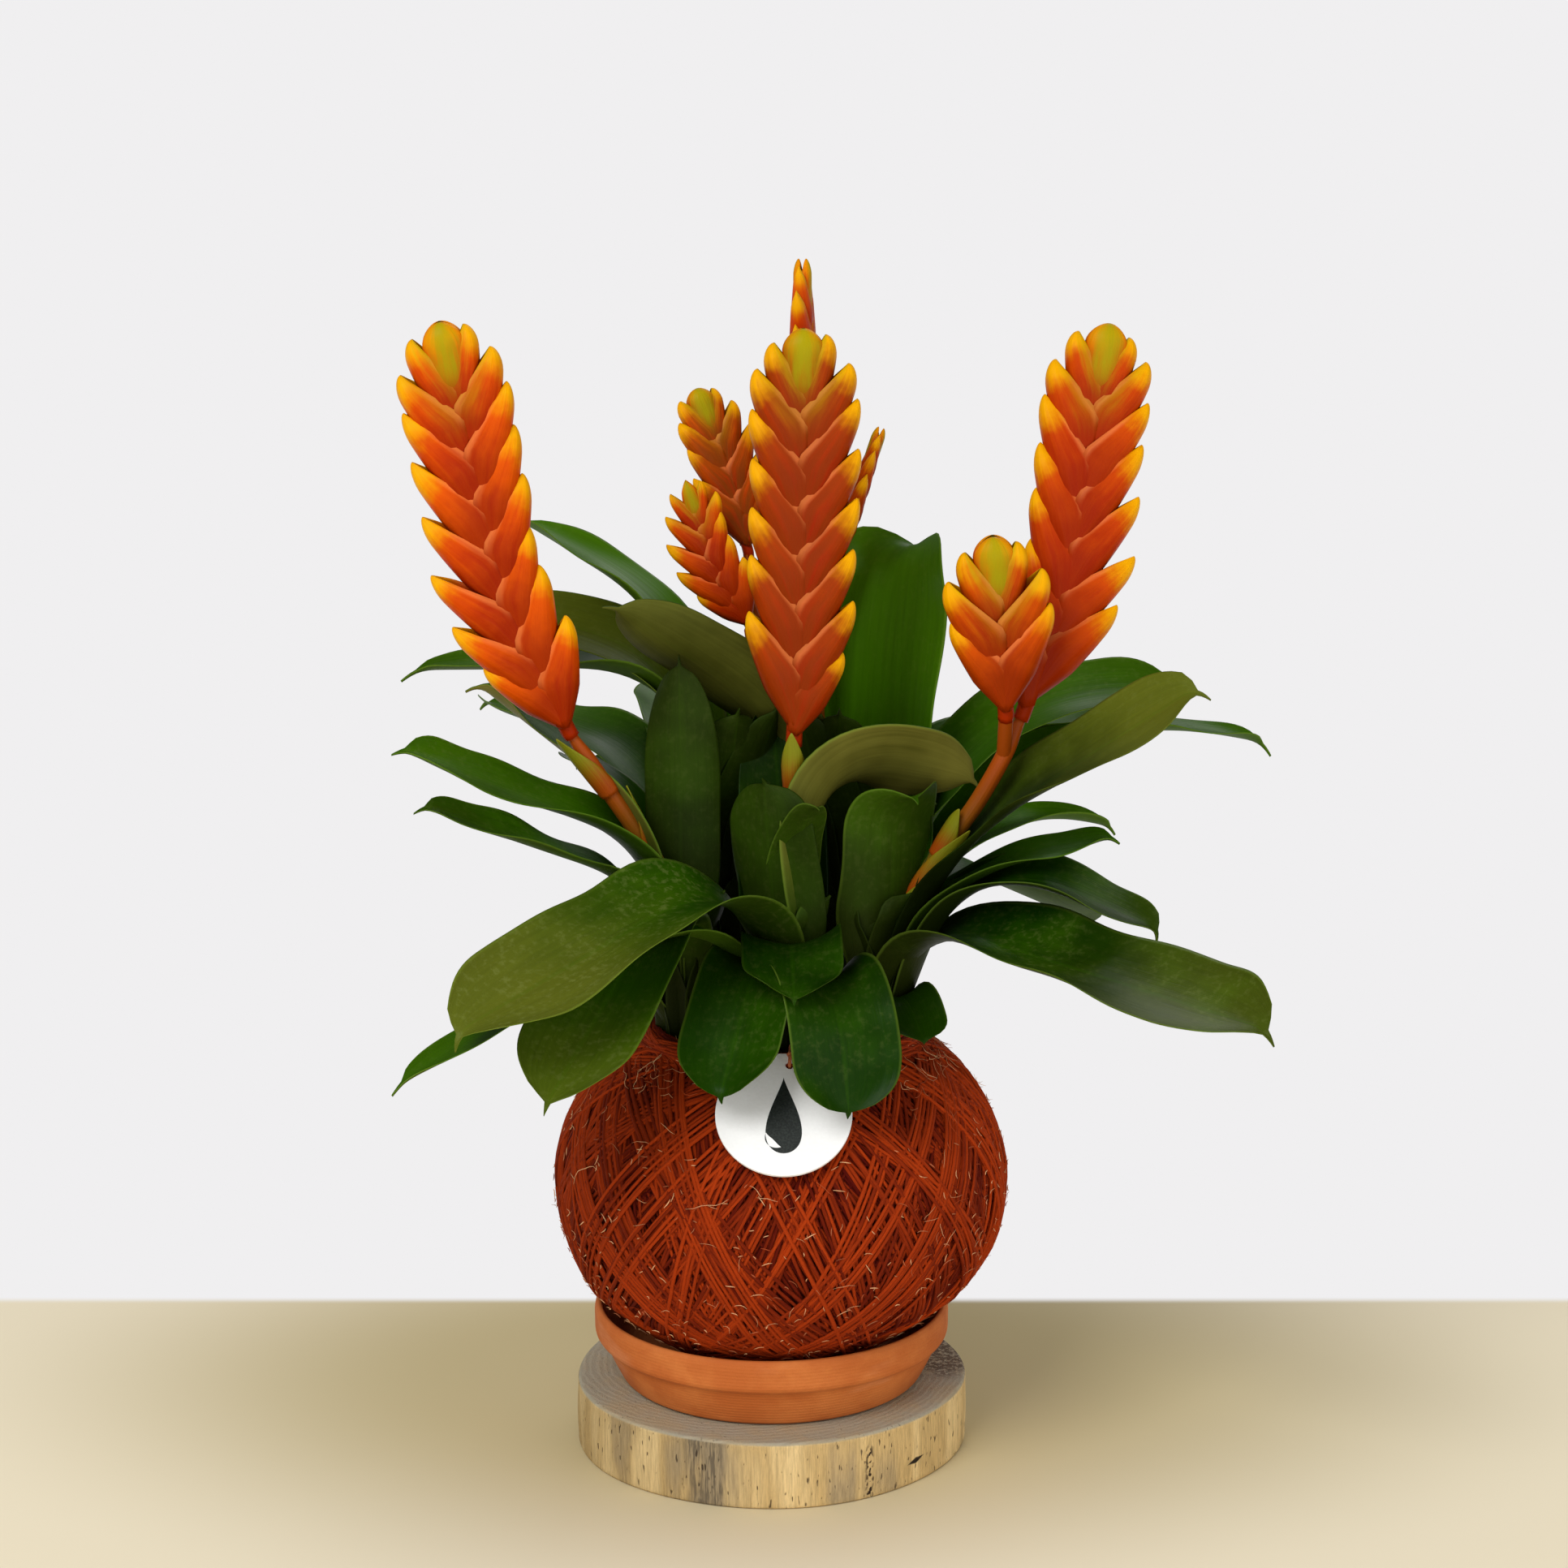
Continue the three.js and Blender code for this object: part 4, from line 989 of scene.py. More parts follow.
def drop_glint(size, y):
    """The outline of a crescent left bare in the lower left of a drop."""
    reach, steps = 0.42 * size, 16
    outer, inner = [], []
    for step in range(steps + 1):
        turn = math.radians(mix(185, 262, step / steps))
        width = 0.09 * size * math.sin(math.pi * step / steps)
        for edge, radius in ((outer, reach + width), (inner, reach - width)):
            edge.append((radius * math.cos(turn), y - reach + radius * math.sin(turn)))
    return outer + inner[-2:0:-1]


class KOKEDAMA_OT_tag(bpy.types.Operator):
    """Round card tag with one printed drop, on a coir thread with a loose curl"""

    bl_idname = "kokedama.tag"
    bl_label = "Tag"

    def execute(self, context):
        look = look_of(context)
        card = Finish("card", roughness=0.42, specular_ior_level=0.4)
        pulp = card.noise(card.position(), 900, 3.0)
        card.connect("Base Color", card.blend(pulp, colour("#f4f4f2"), colour("#fdfdfc")))
        card.bump(pulp, 0.04)
        hole = circle(TAG_HOLE_RADIUS, 32, TAG_HOLE_X, TAG_HOLE_Y)
        disc = plate("card_tag", [circle(TAG_RADIUS, 144), hole], 0.0, TAG_THICKNESS, 0.18)
        dress(disc, card.material, "card", "tag_disc")
        print_film = 0.03
        ink = Finish("print_ink", roughness=0.5)
        speckle = ink.noise(ink.position(), 1500, 2.0)
        ink.connect("Base Color", ink.blend(speckle.step(0.3, 0.8), look.ink, colour("#2d332f")))
        drop_size, drop_y = TAG_RADIUS * 0.62, -0.5
        outlines = [drop_outline(drop_size, drop_y), drop_glint(drop_size, drop_y)]
        drop = plate("printed_drop", outlines, TAG_THICKNESS, TAG_THICKNESS + print_film, 0)
        dress(drop, ink.material, "card")
        skin = Skin()
        x, y = TAG_HOLE_X, TAG_HOLE_Y
        loop = [
            (x + 0.2, y + 9.5, -4.2),
            (x + 0.4, y + 7.5, 0.8),
            (x + 0.2, y + 3.5, TAG_THICKNESS + 1.5),
            (x, y + 0.2, TAG_THICKNESS + 0.8),
            (x, y, -0.9),
            (x - 0.3, y + 2, -2.2),
        ]
        tail = [
            (x - 0.4, y + 3.5, TAG_THICKNESS + 1.2),
            (x + 1.2, y + 4.6, TAG_THICKNESS + 1.8),
            (x + 4, y + 4.5, TAG_THICKNESS + 2.0),
            (x + 8, y + 2.5, TAG_THICKNESS + 1.4),
            (x + 11, y + 4, TAG_THICKNESS + 1.2),
        ]
        knot = [
            (x - 0.6, y + 3.2, TAG_THICKNESS + 1.2),
            (x + 0.2, y + 3.6, TAG_THICKNESS + 2.3),
            (x + 1.0, y + 3.4, TAG_THICKNESS + 1.4),
            (x + 0.4, y + 3.0, TAG_THICKNESS + 0.5),
            (x - 0.5, y + 3.4, TAG_THICKNESS + 0.9),
        ]
        for places, share in ((loop, 1), (tail, 0.7), (knot, 0.9)):
            spots = smooth_path(on_tag(places), 48)
            rings = tube_rings(spots, THREAD_RADIUS * share, 8, rows_of(1, 0.1, 0.2) + 0 * spots)
            lay = places_of(round_tube(8), np.arange(len(spots)) * 0.3)[..., ::-1]
            skin.add_rings(rings, lay, (0.9, 0.25, 0, 0))
        skin.piece("tag_thread", coir_finish(look, "coir_thread", True), "thread", "tag_cord")
        return {"FINISHED"}


# Leaves


def leaf_profile(share, foot, taper):
    """Half the width of a leaf along it: a clasping foot, a widening strap and an end with a cusp."""
    strap = mix(foot, 1, smooth_step(0, 0.5, share))
    end = np.clip((share - taper) / (0.965 - taper), 0, 1)
    cusp = 0.11 * np.minimum((1 - share) / 0.06, 1)
    return np.maximum(strap * np.sqrt(np.maximum(1 - end**2.4, 0)), cusp) + 0.004


def leaf_rings(foot_point, blade, chance, thickness, rows, columns):
    """Rings across a leaf with their places on the blade and which of their points are on its underside."""
    share = 1 - (1 - np.linspace(0, 1, rows)) ** 1.35
    length, width = blade["length"], blade["width"]
    blade = dict(dict(cusp_bend=chance.uniform(20, 70), swing=chance.uniform(-3, 3)), **blade)
    middle = (share[1:] + share[:-1]) / 2

    def directions(at):
        turned = smooth_step(blade["knee"] - blade["spread"], blade["knee"] + blade["spread"], at)
        lift = mix(blade["rise"], blade["fall"], turned) - blade.get("curl", 0) * smooth_step(0.84, 1, at)
        lift = np.radians(lift - blade["cusp_bend"] * smooth_step(0.93, 1, at))
        heading = np.radians(blade["azimuth"] + blade["swing"] * at**2)
        flat = np.cos(lift)
        along = np.stack([flat * np.cos(heading), flat * np.sin(heading), np.sin(lift)], axis=-1)
        level = np.stack([-np.sin(heading), np.cos(heading), np.zeros_like(heading)], axis=-1)
        return along, level

    stretches, _ = directions(middle)
    steps = stretches * (np.diff(share) * length)[:, None]
    midrib = foot_point + np.vstack([np.zeros(3), np.cumsum(steps, axis=0)])
    along, level = directions(share)
    turn = np.radians(blade.get("roll", 0) * share**1.5)[:, None]
    lift = np.cross(along, level)
    across = level * np.cos(turn) + lift * np.sin(turn)
    up = np.cross(along, across)
    half = leaf_profile(share, blade.get("foot", 0.45), blade.get("taper", 0.77)) * width / 2
    depth = blade.get("cup", 0.35) * (1.5 - 1.1 * share + 0.9 * smooth_step(0.8, 1, share)) * half
    side = np.sin(np.linspace(-1, 1, columns + 1) * math.pi / 2)
    wave_size = blade.get("wave", 1.3) * smooth_step(0.1, 0.5, share) * smooth_step(1.0, 0.9, share)
    waves = [chance.uniform(0, 6.3) for _ in range(4)]
    lengthwise = share * length
    ripple = np.stack(
        [
            np.sin(lengthwise / 14 + waves[0]) + 0.5 * np.sin(lengthwise / 6.5 + waves[1]),
            np.sin(lengthwise / 15 + waves[2]) + 0.5 * np.sin(lengthwise / 7 + waves[3]),
        ]
    )
    edge = np.where(side[None, :] < 0, ripple[0][:, None], ripple[1][:, None]) * np.abs(side)[None, :] ** 3
    groove = np.exp(-((side / 0.1) ** 2))[None, :] * 0.35
    height = depth[:, None] * side[None, :] ** 2 + edge * wave_size[:, None]
    height = height - groove * (half / half.max())[:, None]
    top = midrib[:, None] + across[:, None] * (side[None, :, None] * half[:, None, None])
    top = top + up[:, None] * height[..., None]
    thick = thickness * (1 - 0.55 * np.abs(side) ** 4)[None, :, None] * np.ones((rows, 1, 1))
    under = top - up[:, None] * thick
    rings = np.concatenate([under, top[:, ::-1]], axis=1)
    both_sides = np.concatenate([side, side[::-1]])
    places = places_of(both_sides, lengthwise / 10)
    is_under = np.concatenate([np.ones(columns + 1), np.zeros(columns + 1)])
    return rings, places, is_under


def leaf_finish(look):
    """Leaf: glossy green with lengthwise veins and soft pale mottles above, matter olive below, with painted
    shade on leaves of low tone and towards the foot.
    """
    green = Finish("vriesea_leaf", roughness=0.34, specular_ior_level=0.06)
    tone, old, mottle = green.parts(green.facts())
    under = green.facts("Alpha")
    across, along, _ = green.parts(green.place())
    veins = green.noise(green.varied_place(), (13, 0.22, 4), 3.0, 0.6)
    cloud = green.noise(green.position(), 24, 3.0, 0.55)
    body = green.blend(tone.step(0, 1), look.leaf_deep, look.leaf_bright)
    body = green.blend(cloud.step(0.38, 0.75) * 0.5, body, look.leaf_bright)
    aged = old * (cloud * 0.6 + along * 0.07).step(0.8, 1.4)
    body = green.blend(aged, body, look.leaf_old)
    body = green.shade(body, veins.step(0.2, 0.8) * 0.22 + 0.89)
    blotches = green.noise(green.position(), 420, 3.0, 0.6).step(0.48, 0.7)
    body = green.blend(blotches * mottle * cloud.step(0.25, 0.65) * 0.26, body, look.leaf_mottle)
    midrib = abs(across).step(0.07, 0.0) * 0.12
    body = green.blend(midrib, body, look.leaf_bright)
    # Darker towards the foot: painted shade deep in the rosette, and partly the leaf's own darker base
    body = green.shade(body, along.step(0.5, 10.0) * 0.8 + 0.2)
    edge = abs(across).step(0.94, 0.99)
    ribs = (veins * 0.3 + cloud * 0.8).step(0.3, 0.75)
    olive = green.blend(ribs, look.underside_deep, look.underside_light)
    olive = green.shade(olive, cloud * 0.6 + 0.7)
    khaki = under.step(1.05, 2.0) * along.step(4.0, 10.0)
    plain = green.blend(under.step(0.2, 0.8) * 0.15, body, look.leaf_old)
    # Painted shade: a tone below 0 darkens the leaf, less where it has turned olive
    dark = 1 - (0.85 - tone.step(-1, 0) * 0.85) * (1 - aged)
    colour_of_leaf = green.blend(khaki, green.shade(plain, dark), green.shade(olive, dark * 0.6 + 0.4))
    # The pale edge fades out on leaves painted dark with shade
    rim = edge * tone.step(-0.4, 0.1) * 0.22
    green.connect("Base Color", green.blend(rim, colour_of_leaf, look.leaf_edge))
    green.connect("Roughness", under.step(0.3, 1.0) * 0.2 + cloud * 0.2 + 0.24)
    green.bump(veins * 0.6 + cloud * 0.5, 0.2)
    return green.material


def inner_leaves(plant, chance):
    """The upright leaves in the heart of a rosette: short ones round its funnel and a few taller ones."""
    leaves = []
    # Their low tones are painted shade deep in the heart of the rosette
    for index in range(6):
        azimuth = INNER_LEAF_TURN * index + chance.uniform(-10, 10)
        one = leaf(azimuth, 36 + 4 * index, 24, 90, 84 - 3 * index, 0.5, 0.3)
        one.update(foot=0.85, cup=0.5, tone=-0.3, cusp_bend=10)
        leaves.append(one)
    for azimuth in plant.get("tall", ()):
        one = leaf(azimuth, 122, 30, 88, 66, 0.5, 0.3)
        one.update(foot=0.7, taper=0.6, tone=-0.5, cusp_bend=10)
        leaves.append(one)
    return leaves


class KOKEDAMA_OT_leaves(bpy.types.Operator):
    """The leaves of the five rosettes"""

    bl_idname = "kokedama.leaves"
    bl_label = "Leaves"

    def execute(self, context):
        look = look_of(context)
        material = leaf_finish(look)
        for order, (name, plant) in enumerate(PLANTS.items()):
            chance = random.Random(LEAF_SEED + order)
            skin = Skin()
            for blade in plant["leaves"] + inner_leaves(plant, chance):
                away = math.radians(blade["azimuth"])
                foot = rows_of(
                    plant["x"] + LEAF_FOOT_OUT * math.cos(away),
                    plant["y"] + LEAF_FOOT_OUT * math.sin(away),
                    CROWN_Z - LEAF_FOOT_DOWN,
                )
                rows = 56 if blade["length"] > 80 else 24
                rings, places, under = leaf_rings(foot, blade, chance, look.leaf_thickness, rows, 10)
                facts = np.zeros((*rings.shape[:2], 4))
                # The tone fact carries the leaf's own green and its painted light and shade
                facts[..., 0] = np.clip(blade.get("tone", 0.5) + chance.uniform(-0.08, 0.08), -1, 1)
                facts[..., 1] = blade.get("old", 0.1)
                facts[..., 2] = blade.get("mottle", 0.3)
                facts[..., 3] = under * (1 + blade.get("khaki", 0.15))
                skin.add_rings(rings, places, facts)
            skin.piece(f"leaves_{name}", material, "leaf", f"plant_{name}")
        return {"FINISHED"}


# Flower stems and spikes


def stem_places(plant):
    heart = [(plant["x"], plant["y"], CROWN_Z - 10), (plant["x"], plant["y"], CROWN_Z + 10)]
    return heart + plant["stem"]


def stem_finish(look):
    """Flower stem: orange at the top, green lower down. Sheaths are olive with an orange foot."""
    stem = Finish("flower_stem", roughness=0.45, specular_ior_level=0.15)
    ripeness, sheath, _ = stem.parts(stem.facts())
    _, along, _ = stem.parts(stem.place())
    fibres = stem.noise(stem.place(), (9, 0.6, 1), 3.0)
    bare = stem.blend(ripeness.step(0.4, 0.9), colour("#5a5a14"), look.stem)
    cover = stem.blend((along + fibres * 0.3).step(0.25, 0.9), look.stem, look.sheath)
    body = stem.blend(sheath, bare, cover)
    stem.connect("Base Color", stem.shade(body, fibres * 0.4 + 0.8))
    stem.bump(fibres, 0.15)
    return stem.material


def sheath_rings(spine, start, facing, length, beyond):
    """A slim pointed sheath that wraps a stem. It starts at a share of the stem and faces an azimuth."""
    first = int(start * (len(spine) - 1))
    spine = np.vstack([spine, beyond])
    step = np.linalg.norm(spine[1] - spine[0])
    share = np.linspace(0, 1, 22)
    at = np.clip(first + share * length / step, 0, len(spine) - 1.001)
    low = at.astype(int)
    weight = (at - low)[:, None]
    centre = spine[low] * (1 - weight) + spine[low + 1] * weight
    along = unit(headings(spine)[low])
    face = rows_of(math.cos(math.radians(facing)), math.sin(math.radians(facing)), 0)
    out = unit(face - along * (along @ face)[:, None])
    side = np.cross(along, out)
    wrap = np.radians(125 * (1 - share) ** 0.8 + 3)
    radius = STEM_RADIUS * (1.08 + 0.2 * np.sin(np.pi * share))
    stand = 2.6 * share**2
    turns = np.linspace(-1, 1, 13)[None, :] * wrap[:, None]

    def shell(size):
        outwards = np.cos(turns) * size[:, None] + stand[:, None]
        sideways = np.sin(turns) * size[:, None]
        return centre[:, None] + out[:, None] * outwards[..., None] + side[:, None] * sideways[..., None]

    outer, inner = shell(radius), shell(radius - SHEATH_THICKNESS)
    rings = np.concatenate([outer, inner[:, ::-1]], axis=1)
    places = places_of(np.concatenate([turns, turns[:, ::-1]], axis=1), share)
    return rings, places


class KOKEDAMA_OT_flower_stems(bpy.types.Operator):
    """The flower stems with their side branches and sheaths"""

    bl_idname = "kokedama.flower_stems"
    bl_label = "Flower stems"

    def execute(self, context):
        material = stem_finish(look_of(context))
        for name, plant in PLANTS.items():
            skin = Skin()
            spine = smooth_path(stem_places(plant), STEM_POINTS)
            share = np.linspace(0, 1, STEM_POINTS)
            radii = STEM_RADIUS * mix(1, 0.85, share) * mix(1, 0.65, smooth_step(0.9, 1, share))
            rings = tube_rings(spine, radii, 14)
            places = places_of(round_tube(14), share * 8)
            facts = np.zeros((*rings.shape[:2], 4))
            facts[..., 0] = share[:, None]
            skin.add_rings(rings, places, facts)
            if "side" in plant:
                branch = smooth_path(plant["side"], 14)
                skin.add_rings(tube_rings(branch, STEM_RADIUS * 0.75, 12), facts=(0.9, 0, 0, 0))
            step = spine[-1] - spine[-2]
            beyond = spine[-1] + step * np.arange(1, 1 + int(30 / np.linalg.norm(step)))[:, None]
            for start, facing, length in plant["sheaths"]:
                rings, places = sheath_rings(spine, start, facing, length, beyond)
                skin.add_rings(rings, places, (0, 1, 0, 0))
            skin.piece(f"flower_stem_{name}", material, "leaf", f"plant_{name}")
        return {"FINISHED"}


def bract_rings(root, along, out, bract, rows, columns):
    """A keeled boat: rings across it from its root to its tip, and their places on it.

    Each half runs from the keel to a margin, which lies on the stalk at first and then leaves for the tip.
    """
    length, reach, half, keel_height = (bract[name] for name in ("length", "reach", "half", "keel"))
    normal = unit(np.cross(along, out))
    share = np.clip(np.sin(np.linspace(0, 1, rows) * math.pi / 2), 0, 0.9995)
    full, slim = bract["full"], bract["slim"]
    offset = reach * (1 - (1 - share) ** mix(1.25, 2.1, full))
    centre = root + along * (length * share)[:, None] + out * offset[:, None]
    outward = np.cross(normal, headings(centre))
    stations = (0, 0.35, 0.8, 1)
    keel = np.interp(share, stations, (0.3, mix(0.62, 0.7, full), mix(0.5, 0.8, full), mix(0.3, 0.6, full)))
    tip_width = (1 - 0.6 * slim) * mix(0.25, 0.6, full)
    side = np.interp(share, stations, (0.66, 0.9, (1 - 0.35 * slim) * mix(0.74, 0.9, full), tip_width))
    keel, side = keel * keel_height, side * half
    leaving = np.clip((share - bract["leaves"]) / (1 - bract["leaves"]), 0, 1)
    margin = mix(-0.16 * half, reach, leaving)
    heart = np.maximum(offset - margin, 0) + bract["lap"] * half * (1 - leaving)
    round_end = np.sqrt(np.clip(1 - (np.maximum(share - 0.83, 0) / 0.17) ** 2.2, 0, 1))
    keel, side = keel * round_end, side * round_end
    heart = heart * (0.5 + 0.5 * round_end) + 0.1 * half * leaving * round_end
    across = np.linspace(-1, 1, 2 * columns + 1)
    down = np.abs(across) ** 1.4
    bulge = np.sin(np.minimum(np.abs(across) / bract["flank"], 1) * math.pi / 2) ** 0.85
    bulge *= 1 - 0.08 * np.abs(across) ** 6
    wall = np.minimum(0.08 * half, 0.4 * side + 0.02)

    def shell(inset):
        depth = (keel - inset)[:, None] - (keel - inset + heart)[:, None] * down[None, :]
        spread = np.maximum(side - inset, 0.01)[:, None] * bulge[None, :] * np.sign(across)[None, :]
        return centre[:, None] + outward[:, None] * depth[..., None] + normal * spread[..., None]

    rings = np.concatenate([shell(np.zeros(rows)), shell(wall)[:, ::-1]], axis=1)
    both = np.concatenate([across, across[::-1]])
    places = places_of(both, share)
    return rings, places


def bract_finish(look):
    """Bract: waxy orange, redder near the stalk, with yellow tips and olive on the youngest ones."""
    bract = Finish("vriesea_bract", roughness=0.45, specular_ior_level=0.05)
    tone, young, deep = bract.parts(bract.facts())
    olive = bract.facts("Alpha")
    across, along, _ = bract.parts(bract.place())
    from_keel = abs(across)
    streaks = bract.noise(bract.varied_place(), (7, 1.6, 9), 3.0, 0.6)
    cloud = bract.noise(bract.position(), 95, 3.0, 0.6)
    warmth = (streaks * 0.9 + cloud * 0.4 + tone * 0.3).step(0.45, 1.05)
    body = bract.blend(warmth, look.bract, look.bract_light)
    body = bract.blend((along + cloud * 0.3).step(0.95, 0.4) * 0.8, body, look.bract_deep)
    body = bract.blend(along.step(0.5, 0.9) * 0.75, body, look.bract_light)
    body = bract.blend(deep * 0.72, body, look.bract_deep)
    body = bract.blend(olive * streaks.step(0.8, 0.4) * 0.9, body, look.bract_olive)
    margin = (from_keel + streaks * 0.12).step(0.9, 1.04) * along.step(0.3, 0.45) * along.step(0.95, 0.7)
    body = bract.blend(margin * 0.45, body, look.bract_edge)
    is_top = young.step(1.1, 1.4)
    ripe = along * 0.85 + (1 - from_keel) * 0.08 + cloud * 0.25 + streaks * 0.1
    body = bract.blend(ripe.step(0.79, 1.02) * (1 - is_top * 0.4), body, look.bract_tip)
    patch = (from_keel + streaks * 0.6 + cloud * 0.4).step(1.15, 0.45) * along.step(0.2, 0.6)
    body = bract.blend(is_top * patch * 0.85, body, look.bract_green)
    hint = young * (1 - is_top) * (from_keel + streaks * 0.8).step(0.9, 1.5) * along.step(0.2, 0.6)
    body = bract.blend(hint * 0.7, body, look.bract_green)
    bract.connect("Base Color", body)
    bract.connect("Roughness", cloud * 0.25 + 0.3)
    bract.bump(streaks * 0.9 + cloud * 0.6, 0.35)
    return bract.material


def bract_places(spike_length, size, slim):
    """The bracts of a spike from its tip down, in pairs that crowd together near the top."""
    places = []
    pair = 1
    while True:
        for side in (1, -1):
            level = pair - 0.25 if side > 0 else pair
            crowding = CROWDED_PAIRS * (1 - math.exp(-level / CROWDED_PAIRS))
            drop = TIP_PITCH * size * (level - crowding)
            tip = spike_length - drop
            if tip < LOWEST_TIP * size:
                return places
            head = min(drop / (HEAD_HEIGHT * size), 1)
            foot = float(smooth_step(0, 42 * size, tip))
            half = BRACT_HALF_THICKNESS * size * mix(0.7, 1, foot) * mix(0.8, 1, head)
            places.append(
                dict(
                    side=side,
                    tip=tip,
                    length=min(BRACT_LENGTH * size * mix(0.8, 1, head), tip - FIRST_BRACT_RISE * size),
                    reach=SPIKE_HALF_WIDTH * 1.05 * size * math.sqrt(1 - (1 - head) ** 2) * mix(0.3, 1, foot),
                    half=half,
                    keel=half,
                    leaves=0.4,
                    lap=0.3,
                    flank=0.55,
                    head=head,
                    full=(1 - head) * (1 - slim),
                    slim=slim,
                )
            )
        pair += 1


def spike_skin(plant, index, chance):
    """A flat spike on the end of its stem or side branch, with bracts in two ranks."""
    spike = plant["spikes"][index]
    size = spike.get("size", 1)
    rows, columns = (22, 8) if size == 1 else (16, 6)
    carrier = smooth_path(plant["side"] if index else stem_places(plant), STEM_POINTS)
    start = carrier[-1] + headings(carrier)[-1] * SPIKE_SEAT_GAP
    spine = smooth_path([tuple(start)] + spike["path"], SPINE_POINTS)
    heading = headings(spine)
    spike_length = float(np.linalg.norm(np.diff(spine, axis=0), axis=1).sum())
    rank = math.radians(spike["rank"])
    rank = rows_of(math.cos(rank), math.sin(rank), 0)
    skin = Skin()
    seat = carrier[-1] - headings(carrier)[-1]
    stalk = np.vstack([seat, spine[:STALK_POINTS]])
    skin.add_rings(tube_rings(stalk, STALK_RADIUS * size, 8), facts=(0.3, 0, 0, 0))

    def spot_of(height):
        return int(round(np.clip(height / spike_length, 0, 1) * (SPINE_POINTS - 1)))

    slim = spike.get("slim", 0)
    shades = (spike.get("deep", 0.1), spike.get("olive", 0))
    for bract in bract_places(spike_length, size, slim):
        spot = spot_of(bract["tip"] - bract["length"])
        along = heading[spot]
        out = unit(rank - along * (rank @ along)) * bract["side"]
        bract["length"] *= chance.uniform(0.97, 1.02)
        bract["reach"] *= chance.uniform(0.95, 1.04)
        rings, places = bract_rings(spine[spot], along, out, bract, rows, columns)
        skin.add_rings(rings, places, (chance.random(), 1 - bract["head"], *shades))
    spot = spot_of(spike_length - TOP_BRACT_LENGTH * size)
    along = heading[spot]
    half = TOP_BRACT_HALF_WIDTH * size
    top = dict(length=TOP_BRACT_LENGTH * size, reach=half * 0.2, half=half, keel=TOP_BRACT_KEEL * size)
    top.update(leaves=0, lap=0, flank=0.75, full=1 - slim, slim=slim)
    for face in (1, -1):
        out = unit(np.cross(along, rank)) * face
        rings, places = bract_rings(spine[spot], along, out, top, rows, columns)
        skin.add_rings(rings, places, (chance.random(), 1.5, *shades))
    return skin


class KOKEDAMA_OT_flower_spikes(bpy.types.Operator):
    """The orange spikes with their overlapping bracts"""

    bl_idname = "kokedama.flower_spikes"
    bl_label = "Flower spikes"

    def execute(self, context):
        material = bract_finish(look_of(context))
        for name, plant in PLANTS.items():
            for index in range(len(plant["spikes"])):
                chance = random.Random(f"{name}{index}")
                skin = spike_skin(plant, index, chance)
                skin.piece(f"bracts_{name}_{index + 1}", material, "bract", f"spike_{name}_{index + 1}")
        return {"FINISHED"}


# Stage


def aim(thing, place, target):
    thing.location = Vector(place)
    thing.rotation_euler = (Vector(target) - Vector(place)).to_track_quat("-Z", "Y").to_euler()


# How far behind the object the floor ends, and where the camera stands, in metres
FLOOR_EDGE = 0.13
CAMERA_PLACE = (0.0046, -1.1, 0.467)


def studio_world(look):
    """Even light. The camera sees the plain backdrop, and glossy surfaces see a dimmer room."""
    world = bpy.data.worlds.new("studio")
    world.use_nodes = True
    sky = Graph(world.node_tree)
    warm, leafy = (1.0, 0.985, 0.96, 1), (0.85, 0.95, 0.8, 1)
    seen = sky.node("ShaderNodeBackground", inputs={"Color": look.backdrop, "Strength": 1.0})
    room = sky.node("ShaderNodeBackground", inputs={"Color": warm, "Strength": look.sky_strength})
    dim = sky.node("ShaderNodeBackground", inputs={"Color": leafy, "Strength": look.sky_strength * 0.35})
    glossy = sky.node("ShaderNodeLightPath", output="Is Glossy Ray")
    direct = sky.node("ShaderNodeLightPath", output="Is Camera Ray")
    lit = sky.node("ShaderNodeMixShader", inputs={0: glossy, 1: room, 2: dim})
    shown = sky.node("ShaderNodeMixShader", inputs={0: direct, 1: lit, 2: seen})
    sky.links.new(shown.output, sky.nodes["World Output"].inputs["Surface"])
    return world


